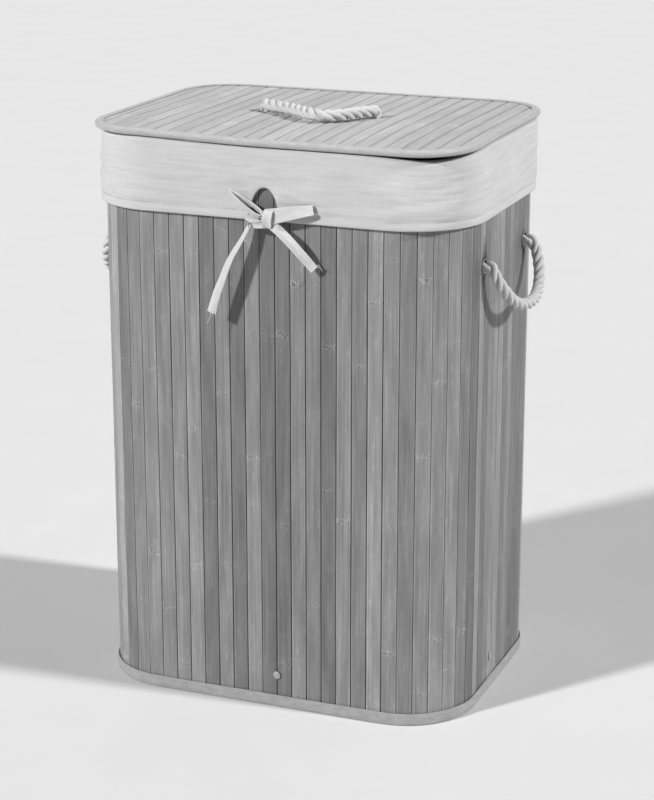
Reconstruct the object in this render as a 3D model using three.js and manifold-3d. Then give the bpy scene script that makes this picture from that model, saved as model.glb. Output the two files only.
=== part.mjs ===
// A slatted laundry hamper with a hinged lid, a cotton liner, rope handles and a drawstring bow.
// Millimetres, +Z up, -Y the front, origin on the floor under the middle of the body.
import * as THREE from "three";
import { mergeVertices } from "three/addons/utils/BufferGeometryUtils.js";
import Module from "manifold-3d";

const wasm = await Module();
wasm.setup();

// ---- Driving dimensions -------------------------------------------------------------------------

// Overall sizes, over the wall's slats. The height is to the top of the closed lid, without its handle.
const BODY_WIDTH = 400;
const BODY_DEPTH = 300;
const TOTAL_HEIGHT = 598;
const CORNER_RADIUS = 73;

// Clearances.
const FIT_GAP = 0.3; // between pieces that touch
const RIM_GAP = 1.2; // between the liner on the rim and the closed lid, where the straps pass
const ROPE_CLEARANCE = 0.8; // round a rope in its hole

// Wall.
const SLAT_PITCH = 16.34;
const SLAT_THICKNESS = 2.4;
const SEAM_WIDTH = 0.8;
const WEB_THICKNESS = 0.6; // what joins the slats of a mat
const SEAM_SHIFT = 10.6; // from the front's middle to the seam beside it
const CLOTH_THICKNESS = 0.8;
const BINDING_THICKNESS = 0.9;
const BOTTOM_BINDING_HEIGHT = 13;
const TOP_BINDING_HEIGHT = 13;
const SEAM_TAPE_WIDTH = 28;
const SEAM_TAPE_X = 96;

// Base.
const BASE_BOARD_THICKNESS = 2.4;
const BASE_BINDING_WIDTH = 9;
const TAB_WIDTH = 32;
const TAB_REACH = 40; // along the base
const TAB_RISE = 36; // up the wall
const RIVET_HEIGHT = 35;
const RIVET_HEAD_RADIUS = 4.2;
const RIVET_HEAD_RISE = 1.6;
const RIVET_SHANK_RADIUS = 2;
const RIVET_WASHER_RADIUS = 5;
const SIDE_RIVET_SHIFT = 21; // the right wall's rivet is this far in front of the middle

// Liner.
const LINER_THICKNESS = 1.2;
const CUFF_DROP = 82; // from the lid's top to the cuff's lower edge
const CUFF_INNER_DROP = 18; // how far the cuff reaches down inside the rim
const CUFF_BULGE = 1.8; // how far the cuff's cloth bulges above its hem
const HEM_HEIGHT = 10.5;
const NOTCH_WIDTH = 30;
const NOTCH_HEIGHT = 34;
const NOTCH_SHIFT = 2; // of the notch's middle, along X
const BAND_THICKNESS = 1;
const FOLD = 0.5; // the bevel where the cuff's cloth folds

// Drawstring bow, placed from the middle of the front wall's hem line.
const TAPE_WIDTH = 10;
const TAPE_THICKNESS = 1.4;
const BOW_KNOT = { place: [4, -10.4, 4.5], radii: [7.6, 4.2, 9] };
const LOOP_START = 9.4; // from the knot's middle
const LEFT_LOOP = { reach: 44, tilt: 147, bulge: 3.4 };
const RIGHT_LOOP = { reach: 54, tilt: 13.5, bulge: 3.6 };
const LEFT_TAIL_ROUTE = [
  [-11.0, -9.6, -3.0],
  [-13.6, -11.4, -9.4],
  [-16.7, -13.1, -15.7],
  [-20.1, -14.6, -21.9],
  [-23.7, -16.0, -28.1],
  [-27.1, -17.1, -34.4],
  [-30.2, -17.9, -40.9],
  [-33.0, -18.4, -47.6],
  [-35.6, -18.7, -54.4],
  [-38.2, -18.9, -61.1],
  [-40.9, -19.0, -67.7],
  [-43.4, -19.0, -74.4],
  [-45.5, -19.0, -81.1],
  [-47.4, -19.0, -87.3],
  [-49.2, -19.0, -93.4],
];
const RIGHT_TAIL_ROUTE = [
  [14.2, -10.6, -2.7],
  [17.9, -12.1, -4.5],
  [21.5, -13.4, -6.6],
  [25.0, -14.5, -8.9],
  [28.4, -15.2, -11.4],
  [31.7, -15.5, -14.2],
  [34.8, -15.4, -17.3],
  [37.8, -15.0, -20.4],
  [40.6, -14.2, -23.7],
  [43.2, -13.2, -27.0],
  [45.8, -12.0, -30.3],
  [48.3, -10.7, -33.6],
  [50.8, -9.3, -36.9],
  [53.5, -8.5, -40.1],
  [56.5, -8.1, -43.2],
];

// Ropes.
const ROPE_RADIUS = 6.2;
const KNOT_RADIUS = 12.5;
const HANDLE_DROP = 130.4; // from the lid's top to the side holes
const HOLE_FROM_CORNER = 9.5; // from a side hole to where the wall's corner begins
const LID_HANDLE_SPAN = 120.5;
const LID_HANDLE_SHIFT = -0.75; // of the lid handle's middle, along X
const STUB_REACH = 2; // how far a side rope stands straight out of the wall before it turns
const EYELET_WALL = 0.6;
const EYELET_FLANGE = 1.75; // beyond the eyelet's barrel
// A side handle's route between its pivots: out from the wall, along it as a share of half the span, and up.
const SIDE_ROPE_ROUTE = [
  [0, -1, 0],
  [3.4, -1.015, -6.6],
  [7, -0.985, -14.2],
  [10.2, -0.915, -21.6],
  [12.9, -0.82, -28.6],
  [15.4, -0.7, -35.4],
  [17.6, -0.55, -41],
  [19.4, -0.375, -44.8],
  [20.8, -0.19, -46.5],
  [21.4, 0, -46.9],
  [20.8, 0.19, -46.5],
  [19.4, 0.375, -44.8],
  [17.6, 0.55, -41],
  [15.4, 0.7, -35.4],
  [12.9, 0.82, -28.6],
  [10.2, 0.915, -21.6],
  [7, 0.985, -14.2],
  [3.4, 1.015, -6.6],
  [0, 1, 0],
];
// The lid handle's route, lying forward on the lid: along X as a share of half the span, and along Y.
const LID_ROPE_ROUTE = [
  [-1, 0],
  [-0.892, -4.5],
  [-0.764, -8.6],
  [-0.622, -12.8],
  [-0.472, -17.6],
  [-0.32, -23.6],
  [-0.163, -31],
  [-0.001, -38.6],
  [0.172, -45],
  [0.351, -47.8],
  [0.514, -44.6],
  [0.637, -36.6],
  [0.733, -26.6],
  [0.822, -16.2],
  [0.909, -7],
  [1, 0],
];

// Lid.
const LID_OVERHANG = 4; // beyond the wall's slats, on each side
const LID_CORNER_RADIUS = 61;
const LID_THICKNESS = 6.4;
const LID_SLAT_PITCH = 16.5;
const LID_SLAT_THICKNESS = 2.2;
const LID_BINDING_WIDTH = 8;
const STRAP_WIDTH = 30;
const STRAP_THICKNESS = 0.6;
const STRAP_SPACING = 180;
const STRAP_REACH = 36; // under the lid
const STRAP_DROP = 42; // down the outside of the cuff
const HINGE_OUT = 6.5; // from the wall's slats to the lid's hinge axis

// Facets.
const CORNER_STEPS = 6;
const ROUND_STEPS = 14;
const ROPE_SIDES = 8;
const ROPE_STEPS = 20;
const TAIL_STEPS = 14;

// ---- Sizes that follow --------------------------------------------------------------------------

const LID_BOTTOM = TOTAL_HEIGHT - LID_THICKNESS;
const RIM_TOP = LID_BOTTOM - RIM_GAP;
const TOP_BINDING_TOP = RIM_TOP - LINER_THICKNESS - FIT_GAP;
const WALL_TOP = TOP_BINDING_TOP - BINDING_THICKNESS - FIT_GAP;
const WALL_BOTTOM = BINDING_THICKNESS + FIT_GAP;
const CUFF_BOTTOM = TOTAL_HEIGHT - CUFF_DROP;
const HANDLE_HEIGHT = TOTAL_HEIGHT - HANDLE_DROP;
const HANDLE_HALF_SPAN = BODY_DEPTH / 2 - CORNER_RADIUS - HOLE_FROM_CORNER;

// Distances inwards from the wall's outer face.
const slatSag = CORNER_RADIUS - Math.sqrt(CORNER_RADIUS ** 2 - (SLAT_PITCH / 2) ** 2);
const BACKING_OUT = SLAT_THICKNESS + slatSag + FIT_GAP;
const BACKING_IN = BACKING_OUT + CLOTH_THICKNESS;
const LAYER_OUT = BACKING_IN + FIT_GAP; // whatever lies on the backing starts here
const LAYER_IN = LAYER_OUT + BINDING_THICKNESS;
const CUFF_LEG = LAYER_IN + FIT_GAP + LINER_THICKNESS / 2; // middle of the cuff's cloth inside the rim
const BAG_OUT = CUFF_LEG + LINER_THICKNESS / 2 + FIT_GAP;
const BAG_IN = BAG_OUT + LINER_THICKNESS;
const KNOT_IN = LAYER_OUT + KNOT_RADIUS;

// A ring's corners are facets, so a ring that goes round the outside keeps this much more clear.
const facetSag = CORNER_RADIUS * (1 - Math.cos(Math.PI / 4 / CORNER_STEPS));
const WRAP_OUT = FIT_GAP + facetSag;

const BASE_TOP = BOTTOM_BINDING_HEIGHT;
const BASE_BINDING_HEIGHT = BASE_BOARD_THICKNESS + 2 * (BINDING_THICKNESS + FIT_GAP);
const BASE_OUT = LAYER_IN + FIT_GAP;
const BAG_BOTTOM = BASE_TOP + 2 * FIT_GAP + CLOTH_THICKNESS;

const EYELET_RADIUS = ROPE_RADIUS + ROPE_CLEARANCE;
const PIVOT_OUT = STUB_REACH + FIT_GAP + ROPE_RADIUS;

const LID_SLAT_TOP = TOTAL_HEIGHT - CLOTH_THICKNESS - FIT_GAP;
const LID_SLAT_BOTTOM = LID_SLAT_TOP - LID_SLAT_THICKNESS;
const LID_BOARD_TOP = LID_SLAT_BOTTOM - FIT_GAP;
const LID_BOARD_BOTTOM = LID_BOTTOM + CLOTH_THICKNESS + FIT_GAP;
const LID_INSET = BINDING_THICKNESS + FIT_GAP;
const LID_ROPE_HEIGHT = LID_SLAT_TOP + FIT_GAP + ROPE_RADIUS;

const BODY = { width: BODY_WIDTH, depth: BODY_DEPTH, radius: CORNER_RADIUS };
const LID = {
  width: BODY_WIDTH + 2 * LID_OVERHANG,
  depth: BODY_DEPTH + 2 * LID_OVERHANG,
  radius: LID_CORNER_RADIUS,
};

// ---- Materials ----------------------------------------------------------------------------------

const matte = (color, roughness, metalness = 0) =>
  new THREE.MeshStandardMaterial({ color, roughness, metalness });
const BAMBOO = matte(0x8f8f8f, 0.55);
const LID_BAMBOO = matte(0xb4b4b4, 0.5);
const COTTON = matte(0xd2d2d2, 0.9);
const TAPE_CLOTH = matte(0xd8d8d8, 0.9);
const BINDING_CLOTH = matte(0xa2a2a2, 0.85);
const BACKING_CLOTH = matte(0x7c7c7c, 0.9);
const BOARD = matte(0x8a8275, 0.8);
const ROPE = matte(0xd4d4d4, 0.85);
const DARK_METAL = matte(0x4a4a4a, 0.45, 0.8);
const RIVET_METAL = matte(0x8c8c8c, 0.4, 0.8);

// ---- Shape helpers ------------------------------------------------------------------------------

function solid(geometry) {
  const bare = geometry.clone();
  bare.deleteAttribute("normal");
  bare.deleteAttribute("uv");
  const merged = mergeVertices(bare, 1e-4);
  return new wasm.Manifold(
    new wasm.Mesh({
      numProp: 3,
      vertProperties: merged.attributes.position.array,
      triVerts: new Uint32Array(merged.index.array),
    }),
  );
}

function geometryOf(body) {
  const mesh = body.getMesh();
  const geometry = new THREE.BufferGeometry();
  geometry.setAttribute("position", new THREE.BufferAttribute(mesh.vertProperties, 3));
  geometry.setIndex(new THREE.BufferAttribute(mesh.triVerts, 1));
  geometry.computeVertexNormals();
  return geometry;
}

const cut = (geometry, ...tools) =>
  geometryOf(tools.reduce((rest, tool) => rest.subtract(solid(tool)), solid(geometry)));
const join = (geometry, ...others) =>
  geometryOf(others.reduce((whole, other) => whole.add(solid(other)), solid(geometry)));
const overlap = (geometry, other) => geometryOf(solid(geometry).intersect(solid(other)));

const points2 = (pairs) => pairs.map(([x, y]) => new THREE.Vector2(x, y));
const points3 = (triples) => triples.map(([x, y, z]) => new THREE.Vector3(x, y, z));

// A rounded rectangle, moved in by inset all round.
function roundedRectangle({ width, depth, radius }, inset = 0) {
  const x = width / 2 - inset;
  const y = depth / 2 - inset;
  const r = radius - inset;
  const shape = new THREE.Shape();
  shape.absarc(x - r, r - y, r, -Math.PI / 2, 0);
  shape.absarc(x - r, y - r, r, 0, Math.PI / 2);
  shape.absarc(r - x, y - r, r, Math.PI / 2, Math.PI);
  shape.absarc(r - x, r - y, r, Math.PI, 1.5 * Math.PI);
  return shape;
}

function prism(shape, bottom, top) {
  const options = { depth: top - bottom, bevelEnabled: false, curveSegments: CORNER_STEPS / 2 };
  return new THREE.ExtrudeGeometry(shape, options).translate(0, 0, bottom);
}

const slab = (plan, inset, bottom, top) => prism(roundedRectangle(plan, inset), bottom, top);

function block(low, high) {
  const size = high.map((value, i) => value - low[i]);
  const middle = high.map((value, i) => (value + low[i]) / 2);
  return new THREE.BoxGeometry(...size).translate(...middle);
}

// Places round a rounded rectangle, with the outward direction at each.
function stations({ width, depth, radius }) {
  const found = [];
  for (let corner = 0; corner < 4; corner++) {
    for (let step = 0; step <= CORNER_STEPS; step++) {
      const angle = ((corner - 1 + step / CORNER_STEPS) * Math.PI) / 2;
      const middle = ((corner - 0.5) * Math.PI) / 2;
      const out = new THREE.Vector2(Math.cos(angle), Math.sin(angle));
      const x = Math.sign(Math.cos(middle)) * (width / 2 - radius) + out.x * radius;
      const y = Math.sign(Math.sin(middle)) * (depth / 2 - radius) + out.y * radius;
      found.push({ x, y, out });
    }
  }
  return found;
}

// A closed section of [out, z] points, swept round a rounded rectangle.
function sweptRing(plan, section) {
  const line = points2(section);
  if (THREE.ShapeUtils.area(line) < 0) line.reverse();
  const round = stations(plan);
  const positions = [];
  for (const { x, y, out } of round) {
    for (const p of line) positions.push(x + out.x * p.x, y + out.y * p.x, p.y);
  }
  const faces = [];
  const at = (i, j) => (i % round.length) * line.length + (j % line.length);
  for (let i = 0; i < round.length; i++) {
    for (let j = 0; j < line.length; j++) {
      faces.push(at(i, j), at(i + 1, j), at(i + 1, j + 1));
      faces.push(at(i, j), at(i + 1, j + 1), at(i, j + 1));
    }
  }
  const geometry = new THREE.BufferGeometry();
  geometry.setAttribute("position", new THREE.Float32BufferAttribute(positions, 3));
  geometry.setIndex(faces);
  geometry.computeVertexNormals();
  return geometry;
}

// The outline of a strip of this thickness whose middle follows the line.
function strip(line, thickness) {
  const middle = points2(line);
  const left = [];
  const right = [];
  middle.forEach((point, i) => {
    const next = middle[i + 1] ?? point.clone().multiplyScalar(2).sub(middle[i - 1]);
    const last = middle[i - 1] ?? point.clone().multiplyScalar(2).sub(next);
    const after = next.clone().sub(point).normalize();
    const along = point.clone().sub(last).normalize().add(after).normalize();
    const side = new THREE.Vector2(-along.y, along.x);
    side.multiplyScalar(thickness / 2 / along.dot(after));
    left.push(point.clone().add(side));
    right.push(point.clone().sub(side));
  });
  return [...left, ...right.reverse()].map(({ x, y }) => [x, y]);
}

// A tube or tape of the section along the route.
function along(route, section, steps) {
  const path = new THREE.CatmullRomCurve3(points3(route), false, "centripetal");
  const options = { steps, bevelEnabled: false, extrudePath: path };
  return new THREE.ExtrudeGeometry(new THREE.Shape(points2(section)), options);
}

function polygon(radius, sides) {
  return Array.from({ length: sides }, (_, i) => {
    const angle = (i / sides) * 2 * Math.PI;
    return [radius * Math.cos(angle), radius * Math.sin(angle)];
  });
}

const ball = (radius, [x, y, z]) =>
  new THREE.SphereGeometry(radius, ROUND_STEPS, ROUND_STEPS / 2).translate(x, y, z);

// A cylinder from one point to another, which differ along one axis only.
function rod(radius, from, to) {
  const start = new THREE.Vector3(...from);
  const end = new THREE.Vector3(...to);
  const geometry = new THREE.CylinderGeometry(radius, radius, start.distanceTo(end), ROUND_STEPS);
  const turn = new THREE.Quaternion().setFromUnitVectors(
    new THREE.Vector3(0, 1, 0),
    end.clone().sub(start).normalize(),
  );
  const middle = start.clone().add(end).multiplyScalar(0.5);
  return geometry.applyQuaternion(turn).translate(middle.x, middle.y, middle.z);
}

function part(name, geometry, material) {
  const mesh = new THREE.Mesh(geometry, material);
  mesh.name = name;
  return mesh;
}

// The four walls: the outward direction, and the distance from the middle to the slats' outer face.
const WALLS = {
  front: { out: [0, -1], reach: BODY_DEPTH / 2 },
  right: { out: [1, 0], reach: BODY_WIDTH / 2 },
  back: { out: [0, 1], reach: BODY_DEPTH / 2 },
  left: { out: [-1, 0], reach: BODY_WIDTH / 2 },
};

// A point on a wall: inwards from its outer face, along it (to the right seen from outside), and up.
function onWall(name, inward, aside, up) {
  const { out, reach } = WALLS[name];
  const distance = reach - inward;
  return [out[0] * distance - out[1] * aside, out[1] * distance + out[0] * aside, up];
}

// A geometry drawn about Z turned to point out of a wall, its origin at the slats' outer face.
function turnedToWall(geometry, name, aside, up) {
  const { out } = WALLS[name];
  const turn = new THREE.Quaternion().setFromUnitVectors(
    new THREE.Vector3(0, 0, 1),
    new THREE.Vector3(out[0], out[1], 0),
  );
  return geometry.applyQuaternion(turn).translate(...onWall(name, 0, aside, up));
}

// ---- Where things are fastened ------------------------------------------------------------------

const RIVET_PLACES = {
  front: SEAM_SHIFT,
  right: -SIDE_RIVET_SHIFT,
  back: SEAM_SHIFT,
  left: SIDE_RIVET_SHIFT,
};
const ROPE_HOLES = ["right", "left"].flatMap((wall) =>
  [-1, 1].map((side) => ({
    wall,
    aside: side * HANDLE_HALF_SPAN,
    end: side * (wall === "right" ? 1 : -1) < 0 ? "front" : "back",
  })),
);
const LID_HOLES = [
  { end: "left", x: LID_HANDLE_SHIFT - LID_HANDLE_SPAN / 2 },
  { end: "right", x: LID_HANDLE_SHIFT + LID_HANDLE_SPAN / 2 },
];

// What the rivets and eyelets need cut out of the wall's layers.
function wallHoles() {
  const through = (wall, aside, up, radius) =>
    rod(radius, onWall(wall, -BAG_IN, aside, up), onWall(wall, BAG_IN, aside, up));
  const rivets = Object.entries(RIVET_PLACES).map(([wall, aside]) =>
    through(wall, aside, RIVET_HEIGHT, RIVET_SHANK_RADIUS + FIT_GAP),
  );
  const eyelets = ROPE_HOLES.map(({ wall, aside }) =>
    through(wall, aside, HANDLE_HEIGHT, EYELET_RADIUS + EYELET_WALL + FIT_GAP),
  );
  return [...rivets, ...eyelets];
}

const lidHoles = () =>
  LID_HOLES.map(({ x }) =>
    rod(EYELET_RADIUS, [x, 0, LID_BOTTOM - LID_THICKNESS], [x, 0, TOTAL_HEIGHT + LID_THICKNESS]),
  );

// ---- Wall ---------------------------------------------------------------------------------------

// The wall's outline as runs, from the middle of the front round by the right side.
function wallRuns() {
  const x = BODY_WIDTH / 2 - CORNER_RADIUS;
  const y = BODY_DEPTH / 2 - CORNER_RADIUS;
  const straight = (zone, startX, startY, quarter, length) => ({
    zone,
    length,
    at: (distance) => {
      const angle = (quarter * Math.PI) / 2;
      const out = new THREE.Vector2(Math.cos(angle), Math.sin(angle));
      return { x: startX - out.y * distance, y: startY + out.x * distance, out };
    },
  });
  const corner = (zone, centreX, centreY, quarter) => ({
    zone,
    length: (CORNER_RADIUS * Math.PI) / 2,
    at: (distance) => {
      const angle = (quarter * Math.PI) / 2 + distance / CORNER_RADIUS;
      const out = new THREE.Vector2(Math.cos(angle), Math.sin(angle));
      return { x: centreX + out.x * CORNER_RADIUS, y: centreY + out.y * CORNER_RADIUS, out };
    },
  });
  return [
    straight("front", 0, -BODY_DEPTH / 2, -1, x),
    corner("front_right_corner", x, -y, -1),
    straight("right", BODY_WIDTH / 2, -y, 0, 2 * y),
    corner("back_right_corner", x, y, 0),
    straight("back", x, BODY_DEPTH / 2, 1, 2 * x),
    corner("back_left_corner", -x, y, 1),
    straight("left", -BODY_WIDTH / 2, y, 2, 2 * y),
    corner("front_left_corner", -x, -y, 2),
    straight("front", -x, -BODY_DEPTH / 2, 3, x),
  ];
}

const RUNS = wallRuns();
const PERIMETER = RUNS.reduce((sum, run) => sum + run.length, 0);
const SLAT_COUNT = Math.round(PERIMETER / SLAT_PITCH);
const WALL_PITCH = PERIMETER / SLAT_COUNT;

// The place at a distance round the wall, moved inwards.
function roundWall(distance, inward = 0) {
  let rest = ((distance % PERIMETER) + PERIMETER) % PERIMETER;
  const run = RUNS.find(({ length }) => rest <= length || ((rest -= length), false)) ?? RUNS[0];
  const { x, y, out } = run.at(rest);
  return { zone: run.zone, point: [x - out.x * inward, y - out.y * inward] };
}

const seamAt = (slat) => SEAM_SHIFT + slat * WALL_PITCH;
const zoneOf = (slat) => roundWall(seamAt(slat) + WALL_PITCH / 2).zone;

// One mat's plan: flat slats with a V between neighbours, joined by a thin web at the back.
function matOutline(first, last) {
  const outer = [];
  const inner = [roundWall(seamAt(first) + SEAM_WIDTH / 2, SLAT_THICKNESS).point];
  for (let slat = first; slat <= last; slat++) {
    outer.push(roundWall(seamAt(slat) + SEAM_WIDTH / 2).point);
    outer.push(roundWall(seamAt(slat + 1) - SEAM_WIDTH / 2).point);
    if (slat === last) break;
    outer.push(roundWall(seamAt(slat + 1), SLAT_THICKNESS - WEB_THICKNESS).point);
    inner.push(roundWall(seamAt(slat + 1), SLAT_THICKNESS).point);
  }
  inner.push(roundWall(seamAt(last + 1) - SEAM_WIDTH / 2, SLAT_THICKNESS).point);
  return [...outer, ...inner.reverse()];
}

function wallMats() {
  const start = Array.from({ length: SLAT_COUNT }, (_, i) => i).find(
    (slat) => zoneOf(slat) !== zoneOf(slat - 1),
  );
  const mats = [];
  for (let first = start; first < start + SLAT_COUNT; ) {
    let last = first;
    while (last + 1 < start + SLAT_COUNT && zoneOf(last + 1) === zoneOf(first)) last++;
    const shape = new THREE.Shape(points2(matOutline(first, last)));
    const geometry = cut(prism(shape, WALL_BOTTOM, WALL_TOP), ...wallHoles());
    mats.push(part(`wall_slats_${zoneOf(first)}`, geometry, BAMBOO));
    first = last + 1;
  }
  return mats;
}

function wallBacking() {
  const section = [
    [-BACKING_OUT, WALL_BOTTOM],
    [-BACKING_IN, WALL_BOTTOM],
    [-BACKING_IN, WALL_TOP],
    [-BACKING_OUT, WALL_TOP],
  ];
  return part("wall_backing_cloth", cut(sweptRing(BODY, section), ...wallHoles()), BACKING_CLOTH);
}

function wallSeamTape() {
  const y = BODY_DEPTH / 2 - LAYER_OUT;
  const low = [SEAM_TAPE_X - SEAM_TAPE_WIDTH / 2, y - CLOTH_THICKNESS, BASE_TOP + 2];
  const high = [SEAM_TAPE_X + SEAM_TAPE_WIDTH / 2, y, WALL_TOP - TOP_BINDING_HEIGHT - 2];
  return part("wall_seam_tape", block(low, high), BINDING_CLOTH);
}

// A channel-shaped binding's section, hugging the wall's edge from the top or from the bottom.
function bindingSection(edge, reach) {
  const away = Math.sign(reach - edge);
  const web = edge + away * BINDING_THICKNESS;
  return [
    [WRAP_OUT + BINDING_THICKNESS, edge],
    [WRAP_OUT + BINDING_THICKNESS, reach],
    [WRAP_OUT, reach],
    [WRAP_OUT, web],
    [-LAYER_OUT, web],
    [-LAYER_OUT, reach],
    [-LAYER_IN, reach],
    [-LAYER_IN, edge],
  ];
}

const bottomBinding = () =>
  part("bottom_binding", sweptRing(BODY, bindingSection(0, BOTTOM_BINDING_HEIGHT)), BINDING_CLOTH);

function topBinding() {
  const section = bindingSection(TOP_BINDING_TOP, TOP_BINDING_TOP - TOP_BINDING_HEIGHT);
  return part("top_binding", sweptRing(BODY, section), BINDING_CLOTH);
}

// A rope eyelet: a barrel through the wall with a flange on each side.
function eyelet({ wall, aside, end }) {
  const barrel = EYELET_RADIUS + EYELET_WALL;
  const flange = barrel + EYELET_FLANGE;
  const profile = [
    [EYELET_RADIUS, -LAYER_OUT - EYELET_WALL],
    [flange, -LAYER_OUT - EYELET_WALL],
    [flange, -LAYER_OUT],
    [barrel, -LAYER_OUT],
    [barrel, WRAP_OUT],
    [flange, WRAP_OUT],
    [flange, WRAP_OUT + EYELET_WALL],
    [EYELET_RADIUS, WRAP_OUT + EYELET_WALL],
    [EYELET_RADIUS, -LAYER_OUT - EYELET_WALL],
  ];
  const spool = new THREE.LatheGeometry(points2(profile), ROUND_STEPS).rotateX(Math.PI / 2);
  return part(
    `${wall}_${end}_eyelet`,
    turnedToWall(spool, wall, aside, HANDLE_HEIGHT),
    DARK_METAL,
  );
}

// ---- Base ---------------------------------------------------------------------------------------

function baseBinding() {
  const low = BASE_TOP - BASE_BINDING_HEIGHT;
  const web = -BASE_OUT - BINDING_THICKNESS;
  const lip = -BASE_OUT - BASE_BINDING_WIDTH;
  const section = [
    [-BASE_OUT, low],
    [-BASE_OUT, BASE_TOP],
    [lip, BASE_TOP],
    [lip, BASE_TOP - BINDING_THICKNESS],
    [web, BASE_TOP - BINDING_THICKNESS],
    [web, low + BINDING_THICKNESS],
    [lip, low + BINDING_THICKNESS],
    [lip, low],
  ];
  return part("base_edge_binding", sweptRing(BODY, section), BINDING_CLOTH);
}

function baseBoard() {
  const inset = BASE_OUT + BINDING_THICKNESS + FIT_GAP;
  const top = BASE_TOP - BINDING_THICKNESS - FIT_GAP;
  return part("base_board", slab(BODY, inset, top - BASE_BOARD_THICKNESS, top), BOARD);
}

// A cloth tab that lies on the base's edge and goes up the wall to its rivet.
function baseTab(wall) {
  const middle = CLOTH_THICKNESS / 2;
  const low = BASE_TOP + FIT_GAP + middle;
  const line = [
    [-TAB_REACH, low],
    [-LAYER_OUT - middle, low],
    [-LAYER_OUT - middle, BASE_TOP + TAB_RISE],
  ];
  const shape = new THREE.Shape(points2(strip(line, CLOTH_THICKNESS)));
  const options = { depth: TAB_WIDTH, bevelEnabled: false };
  const flat = new THREE.ExtrudeGeometry(shape, options);
  const { out } = WALLS[wall];
  const geometry = flat
    .translate(0, 0, -TAB_WIDTH / 2)
    .rotateX(Math.PI / 2)
    .rotateZ(Math.atan2(out[1], out[0]))
    .translate(...onWall(wall, 0, RIVET_PLACES[wall], 0));
  return part(`base_tab_${wall}`, cut(geometry, ...wallHoles()), BINDING_CLOTH);
}

// A rivet: a domed head outside, a shank through the wall and the tab, and a washer inside.
function rivet(wall) {
  const inner = -LAYER_OUT - CLOTH_THICKNESS - FIT_GAP;
  const dome = [0, 0.35, 0.7, 1].map((t) => [
    RIVET_HEAD_RADIUS * Math.cos((t * Math.PI) / 2),
    FIT_GAP + RIVET_HEAD_RISE * Math.sin((t * Math.PI) / 2),
  ]);
  const profile = [
    [0, inner - CLOTH_THICKNESS],
    [RIVET_WASHER_RADIUS, inner - CLOTH_THICKNESS],
    [RIVET_WASHER_RADIUS, inner],
    [RIVET_SHANK_RADIUS, inner],
    [RIVET_SHANK_RADIUS, FIT_GAP],
    ...dome,
  ];
  profile[profile.length - 1][0] = 0;
  const turned = new THREE.LatheGeometry(points2(profile), ROUND_STEPS).rotateX(Math.PI / 2);
  const geometry = turnedToWall(turned, wall, RIVET_PLACES[wall], RIVET_HEIGHT);
  return part(`base_rivet_${wall}`, geometry, RIVET_METAL);
}

// ---- Liner --------------------------------------------------------------------------------------

// The cuff's cloth from inside the rim, over it, down the outside and back up behind the hem.
function cuffLine() {
  const half = LINER_THICKNESS / 2;
  const top = RIM_TOP - half;
  const inner = -CUFF_LEG;
  const outer = WRAP_OUT + BINDING_THICKNESS + FIT_GAP + half;
  const hemOut = WRAP_OUT + FIT_GAP + LINER_THICKNESS + 2 * FIT_GAP + BAND_THICKNESS + half;
  const hemIn = WRAP_OUT + half;
  return [
    [inner, top - CUFF_INNER_DROP],
    [inner, top - FOLD],
    [inner + FOLD, top],
    [outer - FOLD, top],
    [outer, top - FOLD],
    [outer, TOP_BINDING_TOP - TOP_BINDING_HEIGHT],
    [outer + CUFF_BULGE, CUFF_BOTTOM + 2.6 * HEM_HEIGHT],
    [hemOut, CUFF_BOTTOM + HEM_HEIGHT],
    [hemOut, CUFF_BOTTOM + half + FOLD],
    [hemOut - FOLD, CUFF_BOTTOM + half],
    [hemIn + FOLD, CUFF_BOTTOM + half],
    [hemIn, CUFF_BOTTOM + half + FOLD],
    [hemIn, CUFF_BOTTOM + HEM_HEIGHT],
  ];
}

// The arched notch at the front, which lets the drawstring out.
function notch() {
  const radius = NOTCH_WIDTH / 2;
  const shape = new THREE.Shape();
  shape.moveTo(-radius, -HEM_HEIGHT);
  shape.lineTo(radius, -HEM_HEIGHT);
  shape.absarc(0, NOTCH_HEIGHT - radius, radius, 0, Math.PI);
  const options = { depth: NOTCH_WIDTH, bevelEnabled: false, curveSegments: CORNER_STEPS };
  return new THREE.ExtrudeGeometry(shape, options)
    .rotateX(Math.PI / 2)
    .translate(NOTCH_SHIFT, -BODY_DEPTH / 2, CUFF_BOTTOM);
}

const cuff = () =>
  part("liner_cuff", cut(sweptRing(BODY, strip(cuffLine(), LINER_THICKNESS)), notch()), COTTON);

// The liner's bag: its sides and floor, with a pocket pushed in round each rope knot.
function bag() {
  const top = RIM_TOP - LINER_THICKNESS - 2 * FIT_GAP;
  const outside = slab(BODY, BAG_OUT, BAG_BOTTOM, top);
  const inside = slab(BODY, BAG_IN, BAG_BOTTOM + LINER_THICKNESS, TOTAL_HEIGHT);
  const knots = ROPE_HOLES.map(({ wall, aside }) => onWall(wall, KNOT_IN, aside, HANDLE_HEIGHT));
  const pocket = KNOT_RADIUS + 2 * FIT_GAP;
  const bulges = knots.map((place) => solid(ball(pocket + LINER_THICKNESS, place)));
  const shell = solid(outside).subtract(solid(inside));
  const within = bulges.reduce((whole, bulge) => whole.add(bulge), shell);
  const clipped = within.intersect(solid(outside));
  const body = knots.reduce((rest, place) => rest.subtract(solid(ball(pocket, place))), clipped);
  return part("liner_bag", geometryOf(body), COTTON);
}

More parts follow.
